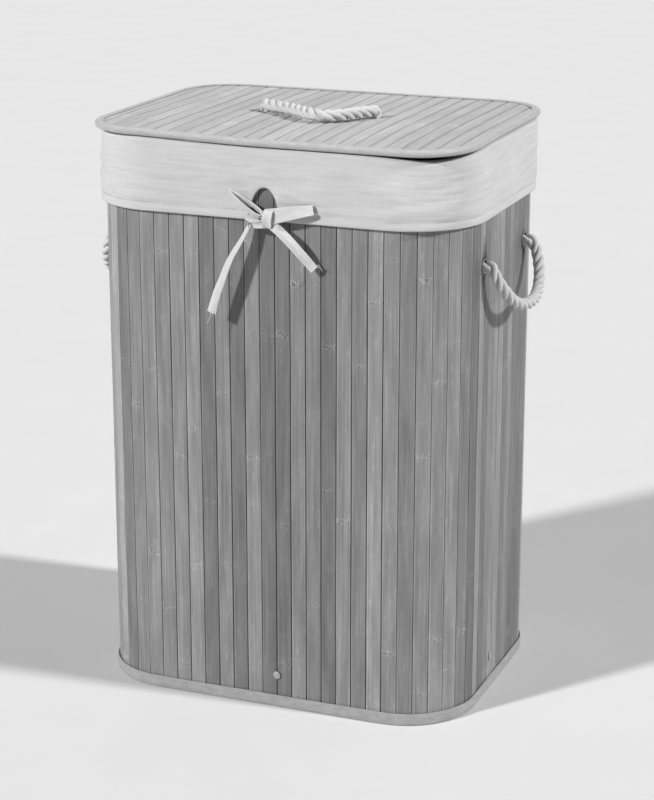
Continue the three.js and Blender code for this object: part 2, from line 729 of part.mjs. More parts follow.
// The drawstring's run inside the hem, which stops at the notch.
function drawstringBand() {
  const out = WRAP_OUT + LINER_THICKNESS + FIT_GAP + FIT_GAP;
  const low = CUFF_BOTTOM + LINER_THICKNESS + FOLD + FIT_GAP;
  const section = [
    [out, low],
    [out + BAND_THICKNESS, low],
    [out + BAND_THICKNESS, CUFF_BOTTOM + HEM_HEIGHT - FIT_GAP],
    [out, CUFF_BOTTOM + HEM_HEIGHT - FIT_GAP],
  ];
  return part("drawstring_band", cut(sweptRing(BODY, section), notch()), TAPE_CLOTH);
}

// ---- Drawstring bow, in its own frame: the middle of the hem line on the front wall -------------

function bowKnot() {
  const [x, y, z] = BOW_KNOT.place;
  const geometry = new THREE.SphereGeometry(1, ROUND_STEPS, ROUND_STEPS / 2);
  return part(
    "drawstring_knot",
    geometry.scale(...BOW_KNOT.radii).translate(x, y, z),
    TAPE_CLOTH,
  );
}

// A flat loop: a long drop-shaped ring of tape, as wide as the tape, that points away at its tilt.
function bowLoop(name, { reach, tilt, bulge }) {
  const outline = (inset) => {
    const shape = new THREE.Shape();
    shape.moveTo(LOOP_START + inset, inset - bulge / 2);
    shape.quadraticCurveTo(reach * 0.6, 1.5 * (inset - bulge), reach - bulge, inset - bulge);
    shape.absarc(reach - bulge, 0, bulge - inset, -Math.PI / 2, Math.PI / 2);
    shape.quadraticCurveTo(reach * 0.6, 1.5 * (bulge - inset), LOOP_START + inset, bulge / 2 - inset);
    return shape;
  };
  const ring = outline(0);
  ring.holes.push(outline(TAPE_THICKNESS));
  const options = { depth: TAPE_WIDTH, bevelEnabled: false, curveSegments: 3 };
  const [x, y, z] = BOW_KNOT.place;
  const geometry = new THREE.ExtrudeGeometry(ring, options)
    .translate(0, 0, -TAPE_WIDTH / 2)
    .rotateY(-THREE.MathUtils.degToRad(tilt))
    .translate(x, y, z);
  return part(name, geometry, TAPE_CLOTH);
}

// A hanging end of the tape: a flat section that keeps its width across the wall.
function bowTail(name, route) {
  const half = TAPE_THICKNESS / 2;
  const edge = TAPE_WIDTH / 2;
  const section = [
    [half, half - edge],
    [half, edge - half],
    [half / 2, edge],
    [-half / 2, edge],
    [-half, edge - half],
    [-half, half - edge],
    [-half / 2, -edge],
    [half / 2, -edge],
  ];
  return part(name, along(route, section, TAIL_STEPS), TAPE_CLOTH);
}

function bow() {
  const group = new THREE.Group();
  group.position.set(0, -BODY_DEPTH / 2, CUFF_BOTTOM);
  group.add(bowKnot());
  group.add(bowLoop("drawstring_loop_left", LEFT_LOOP));
  group.add(bowLoop("drawstring_loop_right", RIGHT_LOOP));
  group.add(bowTail("drawstring_tail_left", LEFT_TAIL_ROUTE));
  group.add(bowTail("drawstring_tail_right", RIGHT_TAIL_ROUTE));
  return group;
}

// ---- Ropes --------------------------------------------------------------------------------------

// A rope loop with a round end at each pivot.
function ropeLoop(name, route) {
  const tube = along(route, polygon(ROPE_RADIUS, ROPE_SIDES), ROPE_STEPS);
  const ends = [route[0], route[route.length - 1]].map((place) => ball(ROPE_RADIUS, place));
  return part(name, join(tube, ...ends), ROPE);
}

function sideHandle(wall) {
  const group = new THREE.Group();
  group.position.set(...onWall(wall, -PIVOT_OUT, 0, HANDLE_HEIGHT));
  group.rotation.z = wall === "right" ? 0 : Math.PI;
  const route = SIDE_ROPE_ROUTE.map(([out, share, up]) => [out, share * HANDLE_HALF_SPAN, up]);
  group.add(ropeLoop(`${wall}_handle_rope`, route));
  return group;
}

function lidHandle() {
  const group = new THREE.Group();
  group.position.set(LID_HANDLE_SHIFT, 0, LID_ROPE_HEIGHT);
  const route = LID_ROPE_ROUTE.map(([share, y]) => [(share * LID_HANDLE_SPAN) / 2, y, 0]);
  group.add(ropeLoop("lid_handle_rope", route));
  return group;
}

// A stopper knot inside the wall, with the rope's end through the eyelet.
function sideKnot({ wall, aside, end }) {
  const middle = onWall(wall, KNOT_IN, aside, HANDLE_HEIGHT);
  const stub = rod(ROPE_RADIUS, middle, onWall(wall, -STUB_REACH, aside, HANDLE_HEIGHT));
  return part(`${wall}_${end}_rope_knot`, join(ball(KNOT_RADIUS, middle), stub), ROPE);
}

function lidKnot({ end, x }) {
  const middle = [x, 0, LID_BOTTOM - FIT_GAP - KNOT_RADIUS];
  const stub = rod(ROPE_RADIUS, middle, [x, 0, LID_ROPE_HEIGHT - ROPE_RADIUS - FIT_GAP]);
  return part(`lid_${end}_rope_knot`, join(ball(KNOT_RADIUS, middle), stub), ROPE);
}

// ---- Lid ----------------------------------------------------------------------------------------

// The lid's slats run front to back, with a V between neighbours, cut to the lid's outline.
function lidSlats() {
  const count = Math.round(LID.width / LID_SLAT_PITCH);
  const pitch = LID.width / count;
  const left = -LID.width / 2;
  const top = [];
  for (let slat = 0; slat < count; slat++) {
    top.push([left + slat * pitch + SEAM_WIDTH / 2, LID_SLAT_TOP]);
    top.push([left + (slat + 1) * pitch - SEAM_WIDTH / 2, LID_SLAT_TOP]);
    if (slat < count - 1) top.push([left + (slat + 1) * pitch, LID_SLAT_BOTTOM + WEB_THICKNESS]);
  }
  const outline = [[left, LID_SLAT_BOTTOM], ...top, [-left, LID_SLAT_BOTTOM]];
  const options = { depth: LID.depth, bevelEnabled: false };
  const strips = new THREE.ExtrudeGeometry(new THREE.Shape(points2(outline)), options)
    .rotateX(Math.PI / 2)
    .translate(0, LID.depth / 2, 0);
  const plan = slab(LID, LID_INSET, LID_SLAT_BOTTOM - FIT_GAP, TOTAL_HEIGHT);
  return part("lid_slats", cut(overlap(strips, plan), ...lidHoles()), LID_BAMBOO);
}

const lidBoard = () =>
  part("lid_board", cut(slab(LID, LID_INSET, LID_BOARD_BOTTOM, LID_BOARD_TOP), ...lidHoles()), BOARD);

function lidLining() {
  const inset = LID_BINDING_WIDTH + FIT_GAP;
  const plate = slab(LID, inset, LID_BOTTOM, LID_BOTTOM + CLOTH_THICKNESS);
  return part("lid_lining", cut(plate, ...lidHoles()), BACKING_CLOTH);
}

function lidBinding() {
  const section = [
    [0, LID_BOTTOM],
    [0, TOTAL_HEIGHT],
    [-LID_BINDING_WIDTH, TOTAL_HEIGHT],
    [-LID_BINDING_WIDTH, TOTAL_HEIGHT - CLOTH_THICKNESS],
    [-BINDING_THICKNESS, TOTAL_HEIGHT - CLOTH_THICKNESS],
    [-BINDING_THICKNESS, LID_BOTTOM + CLOTH_THICKNESS],
    [-LID_BINDING_WIDTH, LID_BOTTOM + CLOTH_THICKNESS],
    [-LID_BINDING_WIDTH, LID_BOTTOM],
  ];
  return part("lid_binding", sweptRing(LID, section), BINDING_CLOTH);
}

// ---- Lid straps: the lower part lies on the cuff, the upper part under the lid ------------------

const STRAPS = { left: -STRAP_SPACING / 2, right: STRAP_SPACING / 2 };

function strapAt(name, x, line) {
  const shape = new THREE.Shape(points2(strip(line, STRAP_THICKNESS)));
  const geometry = new THREE.ExtrudeGeometry(shape, { depth: STRAP_WIDTH, bevelEnabled: false })
    .rotateX(Math.PI / 2)
    .rotateZ(Math.PI / 2)
    .translate(x - STRAP_WIDTH / 2, BODY_DEPTH / 2, 0);
  return part(name, geometry, BINDING_CLOTH);
}

function lowerStrap(side) {
  const lift = LINER_THICKNESS / 2 + FIT_GAP + STRAP_THICKNESS / 2;
  const outside = cuffLine().slice(4, 7);
  const line = outside.map(([out, up]) => [out + lift, up]);
  const [out, up] = line[line.length - 1];
  line[line.length - 1] = [out, Math.min(up, RIM_TOP - STRAP_DROP)];
  return strapAt(`lid_strap_lower_${side}`, STRAPS[side], line);
}

function upperStrap(side) {
  const height = RIM_TOP + RIM_GAP / 2;
  const line = [
    [-STRAP_REACH, height],
    [HINGE_OUT - STRAP_THICKNESS, height],
  ];
  return strapAt(`lid_strap_upper_${side}`, STRAPS[side], line);
}

// ---- The hamper ---------------------------------------------------------------------------------

const group = new THREE.Group();

const basket = new THREE.Group();
basket.add(...wallMats(), wallBacking(), wallSeamTape(), bottomBinding(), topBinding());
basket.add(baseBinding(), baseBoard());
basket.add(...Object.keys(WALLS).flatMap((wall) => [baseTab(wall), rivet(wall)]));
basket.add(...ROPE_HOLES.flatMap((hole) => [eyelet(hole), sideKnot(hole)]));
basket.add(cuff(), bag(), drawstringBand(), bow());
basket.add(...Object.keys(STRAPS).map(lowerStrap));
group.add(basket);

const lid = new THREE.Group();
lid.add(lidSlats(), lidBoard(), lidLining(), lidBinding());
lid.add(...LID_HOLES.map(lidKnot), ...Object.keys(STRAPS).map(upperStrap));
group.add(lid);

group.add(sideHandle("right"), sideHandle("left"), lidHandle());

export default group;
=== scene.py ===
"""The looks of a slatted laundry hamper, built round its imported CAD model.

Lengths in this script are millimetres until a mesh is made, which is in metres like the frame.
+Z is up and -Y is the front. The origin is on the floor under the middle of the body.
"""
import math
import random

import bmesh
import bpy
from mathutils import Matrix, Vector, noise


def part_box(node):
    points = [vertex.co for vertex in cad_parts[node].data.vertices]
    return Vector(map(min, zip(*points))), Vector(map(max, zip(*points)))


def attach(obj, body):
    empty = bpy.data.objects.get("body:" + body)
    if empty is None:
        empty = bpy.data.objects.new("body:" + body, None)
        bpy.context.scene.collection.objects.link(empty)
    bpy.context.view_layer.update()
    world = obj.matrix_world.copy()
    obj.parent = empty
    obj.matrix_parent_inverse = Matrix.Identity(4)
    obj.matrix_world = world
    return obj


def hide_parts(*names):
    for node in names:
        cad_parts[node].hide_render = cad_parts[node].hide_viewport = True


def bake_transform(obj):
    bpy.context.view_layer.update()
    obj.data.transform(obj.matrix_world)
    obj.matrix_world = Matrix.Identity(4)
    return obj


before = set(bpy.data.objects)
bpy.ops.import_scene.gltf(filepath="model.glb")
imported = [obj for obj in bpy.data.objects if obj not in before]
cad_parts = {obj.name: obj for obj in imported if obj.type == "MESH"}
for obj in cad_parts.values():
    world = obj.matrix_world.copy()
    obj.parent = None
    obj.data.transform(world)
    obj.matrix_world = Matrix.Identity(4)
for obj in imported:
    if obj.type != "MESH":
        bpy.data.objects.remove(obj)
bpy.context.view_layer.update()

MM = 0.001


def corner(node, end):
    """A CAD node's lowest (0) or highest (1) corner, in millimetres."""
    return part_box(node)[end] / MM


# ---- Sizes, from the frame where it holds them --------------------------------------------------

BODY_WIDTH = 2 * round(corner("wall_slats_right", 1).x, 1)
BODY_DEPTH = -2 * round(corner("wall_slats_front", 0).y, 1)
WALL_BOTTOM = corner("wall_slats_front", 0).z
WALL_TOP = corner("wall_slats_front", 1).z
LID_TOP = corner("lid_binding", 1).z
LID_BOTTOM = corner("lid_binding", 0).z
LID_WIDTH = 2 * corner("lid_binding", 1).x
LID_DEPTH = 2 * corner("lid_binding", 1).y
RIM_TOP = corner("liner_cuff", 1).z
CUFF_BOTTOM = corner("liner_cuff", 0).z
BINDING_TOP = corner("bottom_binding", 1).z
BAG_BOTTOM = corner("liner_bag", 0).z
BAG_TOP = corner("liner_bag", 1).z
BOARD_BOTTOM = corner("base_board", 0).z
BOARD_TOP = corner("base_board", 1).z

CORNER_RADIUS = 73
LID_CORNER_RADIUS = 61
SLAT_COUNT = 78
SLAT_THICKNESS = 2.4
SEAM_WIDTH = 0.8
SEAM_SHIFT = 10.6
LID_SLAT_COUNT = 25
LID_SLAT_TOP = LID_TOP - 1.1
LID_SLAT_THICKNESS = 2.2

# Distances out from the wall's slats; what lies inside the wall is below zero.
BACKING = (-3.96, -3.16)
LAYER_OUT = -4.26
LAYER_IN = -5.16
CUFF_LEG = -6.06
CUFF_OUT = 2.72
HEM_OUT = 4.62
HEM_BACK = 1.52
BAG_MIDDLE = -7.56
WRAP_OUT = 0.92
KNOT_MIDDLE = -16.76

# The liner's cloth and hem, and how far the lid and the rim are low at the front and its corner.
LINER = 1.2
HEM_HEIGHT = 10.5
LID_SAG = 3.3
CORNER_SAG = 4.2
SAG_CORNER = (178, -138)

# How far the cuff stands out at the right side, and where that is, from the middle of the front.
SIDE_FLARE = 3.2
SIDE_MIDDLE = 355
NOTCH_WIDTH = 33
NOTCH_HEIGHT = 34
NOTCH_MIDDLE = 2

ROPE_RADIUS = 6.2
KNOT_RADIUS = 12.5
EYELET_RADIUS = 7
HANDLE_HEIGHT = LID_TOP - 130.4
HANDLE_HALF_SPAN = 67.5
PIVOT_OUT = 8.5
LID_HOLES = (-61.0, 59.5)
LID_ROPE_HEIGHT = LID_SLAT_TOP + 0.3 + ROPE_RADIUS
RIVET_HEIGHT = 35
TAPE_WIDTH = 10
TAPE_THICKNESS = 1.4
STRAP_WIDTH = 30
STRAP_PLACES = {"left": -90, "right": 90}

# How far a rope's strands go in one turn, and how close the points of its route are.
ROPE_LAY = 34
ROPE_STEP = 1.7

# The thickness of the bindings' cloth.
BINDING = 0.9
HALF_BINDING = BINDING / 2

# Which point of cuff_line, counted from its end, lies in the crease above the hem.
HEM_CREASE = -13

# The camera: where it stands in metres, and how far it looks down and turns in degrees.
CAMERA_PLACE = (0.8442, -2.1088, 0.9738)
CAMERA_DOWN = 16.75
CAMERA_TURN = 21.66
LENS = 100
SENSOR_WIDTH = 36
FLOOR_REACH = 40

WALLS = {
    "front": (Vector((0, -1, 0)), BODY_DEPTH / 2, SEAM_SHIFT),
    "right": (Vector((1, 0, 0)), BODY_WIDTH / 2, -21),
    "back": (Vector((0, 1, 0)), BODY_DEPTH / 2, SEAM_SHIFT),
    "left": (Vector((-1, 0, 0)), BODY_WIDTH / 2, 21),
}
UP = Vector((0, 0, 1))

# The side handles' holes: wall, side of its middle as seen from outside, and end of the hamper.
SIDE_HOLES = [("right", -1, "front"), ("right", 1, "back"), ("left", -1, "back"), ("left", 1, "front")]


def on_wall(wall, out, aside, up):
    """A point by a wall: out from its slats, along it to the right as seen from outside, and up."""
    direction, reach, _ = WALLS[wall]
    return direction * (reach + out) + UP.cross(direction) * aside + UP * up


def by_hole(wall, side, out):
    """A point on the middle line of a side handle's hole, that far out from the slats."""
    return on_wall(wall, out, side * HANDLE_HALF_SPAN, HANDLE_HEIGHT)


def side_holes(*walls):
    """What to drill in these walls for the side handles: each hole's two ends and its radius."""
    return [
        (by_hole(wall, side, -12), by_hole(wall, side, 6), EYELET_RADIUS + 0.9)
        for wall, side, _ in SIDE_HOLES if wall in walls
    ]


def belong(piece, body, slot, *nodes):
    """Lets a piece ride on a body and hides the CAD nodes it stands for. Its slot is not used."""
    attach(piece, body)
    if nodes:
        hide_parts(*nodes)
    return piece


# ---- Camera, lights and floor -------------------------------------------------------------------


def make_camera():
    data = bpy.data.cameras.new("camera")
    data.sensor_width = SENSOR_WIDTH
    data.lens = LENS
    camera = bpy.data.objects.new("camera", data)
    camera.location = CAMERA_PLACE
    camera.rotation_euler = (math.radians(90 - CAMERA_DOWN), 0, math.radians(CAMERA_TURN))
    bpy.context.collection.objects.link(camera)
    bpy.context.scene.camera = camera


def make_sun(name, towards, strength, softness):
    data = bpy.data.lights.new(name, "SUN")
    data.energy = strength
    data.angle = math.radians(softness)
    sun = bpy.data.objects.new(name, data)
    sun.rotation_euler = (-Vector(towards)).to_track_quat("-Z", "Y").to_euler()
    bpy.context.collection.objects.link(sun)


def make_studio():
    make_sun("key", towards=(-0.51, -0.70, 0.50), strength=3.7, softness=4.5)
    make_sun("side", towards=(0.82, 0.04, 0.57), strength=3.3, softness=4.5)
    world = bpy.data.worlds.new("studio")
    world.use_nodes = True
    nodes = world.node_tree.nodes
    link = world.node_tree.links.new
    direction = nodes.new("ShaderNodeSeparateXYZ")
    link(nodes.new("ShaderNodeTexCoord").outputs["Generated"], direction.inputs[0])
    glow = nodes.new("ShaderNodeMapRange")
    link(direction.outputs["Y"], glow.inputs["Value"])
    for name, value in (("From Min", -0.2), ("From Max", 1), ("To Min", 0.06), ("To Max", 0.55)):
        glow.inputs[name].default_value = value
    sky = nodes["Background"].inputs
    sky["Color"].default_value = (1, 1, 1, 1)
    link(glow.outputs["Result"], sky["Strength"])
    bpy.context.scene.world = world
    bpy.context.scene.view_settings.view_transform = "Standard"


def make_floor():
    surface = Surface("floor", roughness=0.9)
    speckle = surface.noise(surface.place(), 9, detail=3)
    surface.colour(surface.spread(speckle, 0.56, 0.6))
    mesh = bpy.data.meshes.new("floor")
    corners = [(FLOOR_REACH * x, FLOOR_REACH * y, 0) for x, y in ((-1, -1), (1, -1), (1, 1), (-1, 1))]
    mesh.from_pydata(corners, [], [(0, 1, 2, 3)])
    mesh.materials.append(surface.material)
    floor = bpy.data.objects.new("floor", mesh)
    bpy.context.collection.objects.link(floor)


# ---- Material nodes -----------------------------------------------------------------------------


class Surface:
    """One material, with short calls for the nodes it is made of. A value is a number or an output."""

    def __init__(self, name, roughness, specular=0.4, metallic=0.0, sheen=0.0):
        self.material = bpy.data.materials.new(name)
        self.material.use_nodes = True
        self.tree = self.material.node_tree
        self.shader = self.tree.nodes["Principled BSDF"]
        self.shader.inputs["Roughness"].default_value = roughness
        self.shader.inputs["Specular IOR Level"].default_value = specular
        self.shader.inputs["Metallic"].default_value = metallic
        self.shader.inputs["Sheen Weight"].default_value = sheen

    def add(self, kind, values=(), **settings):
        node = self.tree.nodes.new(kind)
        for name, value in settings.items():
            setattr(node, name, value)
        for key, value in dict(values).items():
            if isinstance(value, bpy.types.NodeSocket):
                self.tree.links.new(value, node.inputs[key])
            else:
                node.inputs[key].default_value = value
        return node

    def mark(self, name):
        return self.add("ShaderNodeAttribute", attribute_name=name).outputs["Fac"]

    def flow(self):
        """The piece's own coordinates: across and along it, in millimetres."""
        return self.add("ShaderNodeAttribute", attribute_name="flow").outputs["Vector"]

    def place(self):
        return self.add("ShaderNodeTexCoord").outputs["Object"]

    def stretch(self, vector, scale, shift=None):
        values = {0: vector, 1: scale}
        scaled = self.add("ShaderNodeVectorMath", values, operation="MULTIPLY").outputs[0]
        if shift is None:
            return scaled
        return self.add("ShaderNodeVectorMath", {0: scaled, 1: shift}, operation="ADD").outputs[0]

    def noise(self, vector, scale=1.0, detail=2.0, roughness=0.5):
        values = {"Vector": vector, "Scale": scale, "Detail": detail, "Roughness": roughness}
        return self.add("ShaderNodeTexNoise", values).outputs["Fac"]

    def grain(self, across, along, detail=3, roughness=0.5, shift=None):
        """Noise in the piece's own coordinates, with its scales across and along it."""
        return self.noise(self.stretch(self.flow(), (across, along, 0), shift), 1, detail, roughness)

    def wave(self, vector, scale, direction):
        values = {"Vector": vector, "Scale": scale}
        node = self.add("ShaderNodeTexWave", values, wave_type="BANDS", bands_direction=direction)
        return node.outputs["Fac"]

    def math(self, operation, first, second=0.0, clamp=False):
        values = {0: first, 1: second}
        return self.add("ShaderNodeMath", values, operation=operation, use_clamp=clamp).outputs[0]

    def spread(self, value, low, high, start=0.0, end=1.0):
        """A value that runs from start to end, as one from low to high."""
        values = {"Value": value, "From Min": start, "From Max": end, "To Min": low, "To Max": high}
        return self.add("ShaderNodeMapRange", values).outputs["Result"]

    def product(self, *values):
        result = values[0]
        for value in values[1:]:
            result = self.math("MULTIPLY", result, value)
        return result

    def colour(self, shade, grey=1.0):
        self.tree.links.new(self.math("MULTIPLY", shade, grey), self.shader.inputs["Base Color"])

    def rough(self, value):
        self.tree.links.new(value, self.shader.inputs["Roughness"])

    def bump(self, height, depth):
        values = {"Height": height, "Strength": 1.0, "Distance": depth * MM}
        normal = self.add("ShaderNodeBump", values).outputs["Normal"]
        self.tree.links.new(normal, self.shader.inputs["Normal"])


def bamboo(name, grey, contrast, grain, rim, roughness):
    """Strips with lengthwise grain, a tone of their own and speckled knuckles. Their edges carry a
    painted highlight where rim is above zero and painted shade where it is below.
    """
    surface = Surface(name, roughness, specular=0.4)
    shift = surface.add("ShaderNodeCombineXYZ", {"Z": surface.mark("seed")}).outputs[0]
    fine = surface.grain(1.7, 0.02, 3, 0.6, shift)
    streak = surface.grain(0.6, 0.006, 3, 0.6, shift)
    cloud = surface.grain(0.11, 0.012, 3, 0.5, shift)
    patch = surface.grain(0.2, 0.07, 3, 0.65, shift)
    fleck = surface.grain(0.8, 0.55, 3, 0.75, shift)
    spots = surface.product(surface.spread(fleck, -0.8, 1.2, 0.3, 0.72), surface.mark("knuckle"))
    shade = surface.product(
        surface.spread(surface.mark("tone"), 1 - contrast, 1 + contrast),
        surface.spread(fine, 1 - grain, 1 + grain, 0.25, 0.75),
        surface.spread(streak, 1 - 1.5 * grain, 1 + 1.2 * grain, 0.3, 0.75),
        surface.spread(cloud, 1 - 1.2 * grain, 1 + 1.3 * grain, 0.3, 0.7),
        surface.spread(patch, 1, 1 + 1.6 * grain, 0.56, 0.72),
        surface.math("ADD", 1.0, spots),
        # Painted highlight along the strips' edges where rim is above zero, painted shade where it is
        # below.
        surface.spread(surface.mark("edge"), 1.0, 1 + rim),
    )
    surface.colour(shade, grey)
    surface.rough(surface.spread(fine, roughness - 0.07, roughness + 0.12, 0.3, 0.7))
    surface.bump(surface.math("ADD", fine, spots), 0.12)
    return surface.material


def cotton(name, grey, slub=1.0, yarn=0.62):
    """A plain weave with thick places in its yarns, mostly those that run along the cloth."""
    surface = Surface(name, roughness=0.92, specular=0.15, sheen=0.15)
    flow = surface.flow()
    weft = surface.grain(1.5, 0.035, 3, 0.6)
    thick = surface.grain(0.3, 0.016, 3, 0.6)
    warp = surface.grain(0.05, 1.7, 2, 0.6)
    speck = surface.grain(0.8, 0.35, 1)
    cloud = surface.grain(0.02, 0.012)
    over = surface.wave(flow, math.pi / 10 / yarn, "X")
    under = surface.wave(flow, math.pi / 10 / yarn, "Y")
    weave = surface.math("ADD", over, under)
    shade = surface.product(
        surface.spread(weft, 1 - 0.045 * slub, 1 + 0.035 * slub, 0.25, 0.8),
        surface.spread(thick, 1 - 0.07 * slub, 1 + 0.06 * slub, 0.28, 0.72),
        surface.spread(warp, 1 - 0.05 * slub, 1 + 0.04 * slub, 0.25, 0.8),
        surface.spread(speck, 1, 1 - 0.16 * slub, 0.68, 0.78),
        surface.spread(cloud, 0.97, 1.03, 0.3, 0.7),
        surface.spread(weave, 0.95, 1.02, 0, 2),
    )
    surface.colour(shade, grey)
    yarns = surface.math("ADD", surface.math("MULTIPLY", weave, 0.35), weft)
    surface.bump(surface.math("ADD", yarns, surface.math("MULTIPLY", thick, 1.5)), 0.25)
    return surface.material


def woven_tape(name, grey, rib=1.1, contrast=0.1):
    """A ribbed tape, its ribs across its length."""
    surface = Surface(name, roughness=0.85, specular=0.2, sheen=0.1)
    flow = surface.flow()
    ribs = surface.wave(flow, math.pi / 10 / rib, "Y")
    yarns = surface.wave(flow, math.pi / 10 / (rib * 0.8), "X")
    patch = surface.grain(0.25, 0.08, 4, 0.65)
    fleck = surface.grain(1.2, 0.9, 2, 0.7)
    weave = surface.math("MULTIPLY", ribs, yarns)
    shade = surface.product(
        surface.spread(patch, 1 - contrast, 1 + contrast, 0.3, 0.7),
        surface.spread(fleck, 1 - contrast, 1 + contrast, 0.3, 0.7),
        surface.spread(weave, 1 - contrast, 1.02),
    )
    surface.colour(shade, grey)
    surface.bump(surface.math("ADD", weave, fleck), 0.2)
    return surface.material


def twisted_rope(name, grey):
    """Soft cotton yarns that lie across each strand's length."""
    surface = Surface(name, roughness=0.9, specular=0.15, sheen=0.3)
    values = {"Vector": surface.flow(), "Angle": 0.6}
    slant = surface.add("ShaderNodeVectorRotate", values, rotation_type="Z_AXIS").outputs[0]
    yarns = surface.noise(surface.stretch(slant, (1.3, 0.12, 0)), 1, 3, 0.6)
    fuzz = surface.grain(1.5, 1.5, 3, 0.7)
    shade = surface.product(
        surface.spread(yarns, 0.84, 1.1, 0.25, 0.75),
        surface.spread(fuzz, 0.93, 1.05, 0.3, 0.7),
    )
    surface.colour(shade, grey)
    surface.bump(surface.math("ADD", yarns, surface.math("MULTIPLY", fuzz, 0.4)), 0.5)
    return surface.material


def fibre_board(name, grey):
    surface = Surface(name, roughness=0.75, specular=0.25)
    place = surface.place()
    fibres = surface.noise(place, 900, 3, 0.7)
    cloud = surface.noise(place, 18, 3)
    shade = surface.product(surface.spread(fibres, 0.82, 1.15, 0.3, 0.7),
                            surface.spread(cloud, 0.92, 1.06, 0.3, 0.7))
    surface.colour(shade, grey)
    surface.bump(fibres, 0.15)
    return surface.material


def painted_metal(name, grey, roughness, wear):
    """Metal with fine scratches, rubbed paler where the paint has worn."""
    surface = Surface(name, roughness, specular=0.4, metallic=0.35)
    place = surface.place()
    scratch = surface.noise(surface.stretch(place, (900, 900, 4000)), 1, 3, 0.6)
    rubbed = surface.noise(place, 260, 3, 0.6)
    shade = surface.product(surface.spread(scratch, 0.9, 1.1, 0.3, 0.7),
                            surface.spread(rubbed, 1, 1 + wear, 0.45, 0.7))
    surface.colour(shade, grey)
    surface.rough(surface.spread(rubbed, roughness - 0.08, roughness + 0.12, 0.3, 0.7))
    surface.bump(scratch, 0.02)
    return surface.material


# ---- Shapes -------------------------------------------------------------------------------------


class Plan:
    """A rounded rectangle, its distances measured from the middle of its front edge towards +X."""

    def __init__(self, width, depth, radius):
        self.x = width / 2 - radius
        self.y = depth / 2 - radius
        self.radius = radius
        quarter = radius * math.pi / 2
        sides = [quarter, 2 * self.y, quarter, 2 * self.x, quarter, 2 * self.y, quarter]
        self.runs = [self.x, *sides, self.x]
        self.length = sum(self.runs)

    def at(self, distance, out=0.0):
        """The point at that distance round, moved out, and the outward direction there."""
        rest = distance % self.length
        index = 0
        while rest > self.runs[index] and index < len(self.runs) - 1:
            rest -= self.runs[index]
            index += 1
        bend = rest / self.radius if index % 2 else 0
        angle = (index // 2 - 1) * math.pi / 2 + bend
        outward = Vector((math.cos(angle), math.sin(angle), 0))
        quadrant = (index - 1) // 2 if index else 0
        right = -1 if quadrant in (2, 3) else 1
        far = 1 if quadrant in (1, 2) else -1
        middle = Vector((right * self.x if index else 0, far * self.y, 0))
        ahead = 0 if index % 2 else rest
        return middle + outward * (self.radius + out) + UP.cross(outward) * ahead, outward

    def point(self, distance, out=0.0, up=0.0):
        """The point at that distance round, moved out and up."""
        return self.at(distance, out)[0] + UP * up

    def stations(self, step):
        """Distances once round, from the middle of the back, where a texture's two ends then meet."""
        count = math.ceil(self.length / step)
        return [self.length * (0.5 + i / count) for i in range(count)]

    def from_front(self, distance):
        """How far a place is from the middle of the front: below zero to its left."""
        return (distance + self.length / 2) % self.length - self.length / 2


BODY = Plan(BODY_WIDTH, BODY_DEPTH, CORNER_RADIUS)
LID = Plan(LID_WIDTH, LID_DEPTH, LID_CORNER_RADIUS)


class Shape:
    """Points and faces gathered for one piece. Each point has marks, and each face corner a flow."""

    MARKS = ("tone", "seed", "edge", "knuckle")

    def __init__(self):
        self.points = []
        self.faces = []
        self.flow = []
        self.marks = {name: [] for name in self.MARKS}

    def loft(self, rings, loop=False, open_section=False, places=None, marks=None, **fixed):
        """Joins rings of as many points each. marks gives, by name, a function of ring and point."""
        first = len(self.points)
        size = len(rings[0])
        for i, ring in enumerate(rings):
            self.points.extend(ring)
            for name in self.MARKS:
                given = (marks or {}).get(name)
                for j in range(size):
                    self.marks[name].append(given(i, j) if given else fixed.get(name, 0.0))
        across = [running_length(ring if open_section else [*ring, ring[0]]) for ring in rings]
        if places is None:
            track = [ring[0] for ring in rings]
            places = running_length([*track, track[0]] if loop else track)
        for i in range(len(rings) - (0 if loop else 1)):
            after = (i + 1) % len(rings)
            for j in range(size - (1 if open_section else 0)):
                beside = (j + 1) % size
                self.faces.append([
                    first + i * size + j,
                    first + i * size + beside,
                    first + after * size + beside,
                    first + after * size + j,
                ])
                self.flow.extend([
                    (across[i][j], places[i], 0),
                    (across[i][j + 1], places[i], 0),
                    (across[after][j + 1], places[i + 1], 0),
                    (across[after][j], places[i + 1], 0),
                ])
        if not loop and not open_section:
            for i, order in ((0, -1), (len(rings) - 1, 1)):
                corners = [first + i * size + j for j in range(size)][::order]
                self.faces.append(corners)
                self.flow.extend((self.points[c].x, self.points[c].y, 0) for c in corners)

    def warp(self, move):
        self.points = [move(point) for point in self.points]

    def piece(self, name, material, sharp=40):
        """Makes the mesh object, smooth but for edges sharper than this many degrees."""
        mesh = bpy.data.meshes.new(name)
        mesh.from_pydata([point * MM for point in self.points], [], self.faces)
        flow = mesh.attributes.new("flow", "FLOAT_VECTOR", "CORNER")
        flow.data.foreach_set("vector", [value for corner_flow in self.flow for value in corner_flow])
        for mark, values in self.marks.items():
            if any(values):
                mesh.attributes.new(mark, "FLOAT", "POINT").data.foreach_set("value", values)
        body = bmesh.new()
        body.from_mesh(mesh)
        bmesh.ops.recalc_face_normals(body, faces=body.faces)
        body.to_mesh(mesh)
        body.free()
        mesh.shade_smooth()
        mesh.set_sharp_from_angle(angle=math.radians(sharp))
        mesh.materials.append(material)
        made = bpy.data.objects.new(name, mesh)
        bpy.context.collection.objects.link(made)
        return made


def circle(middle, side, other, radius, sides=6):
    """Points round a circle, from its side direction towards the other one."""
    angles = [2 * math.pi * i / sides for i in range(sides)]
    return [middle + (side * math.cos(a) + other * math.sin(a)) * radius for a in angles]


def running_length(points):
    """How far along a line of points each of them lies."""
    total = [0.0]
    for before, after in zip(points, points[1:]):
        total.append(total[-1] + (after - before).length)
    return total


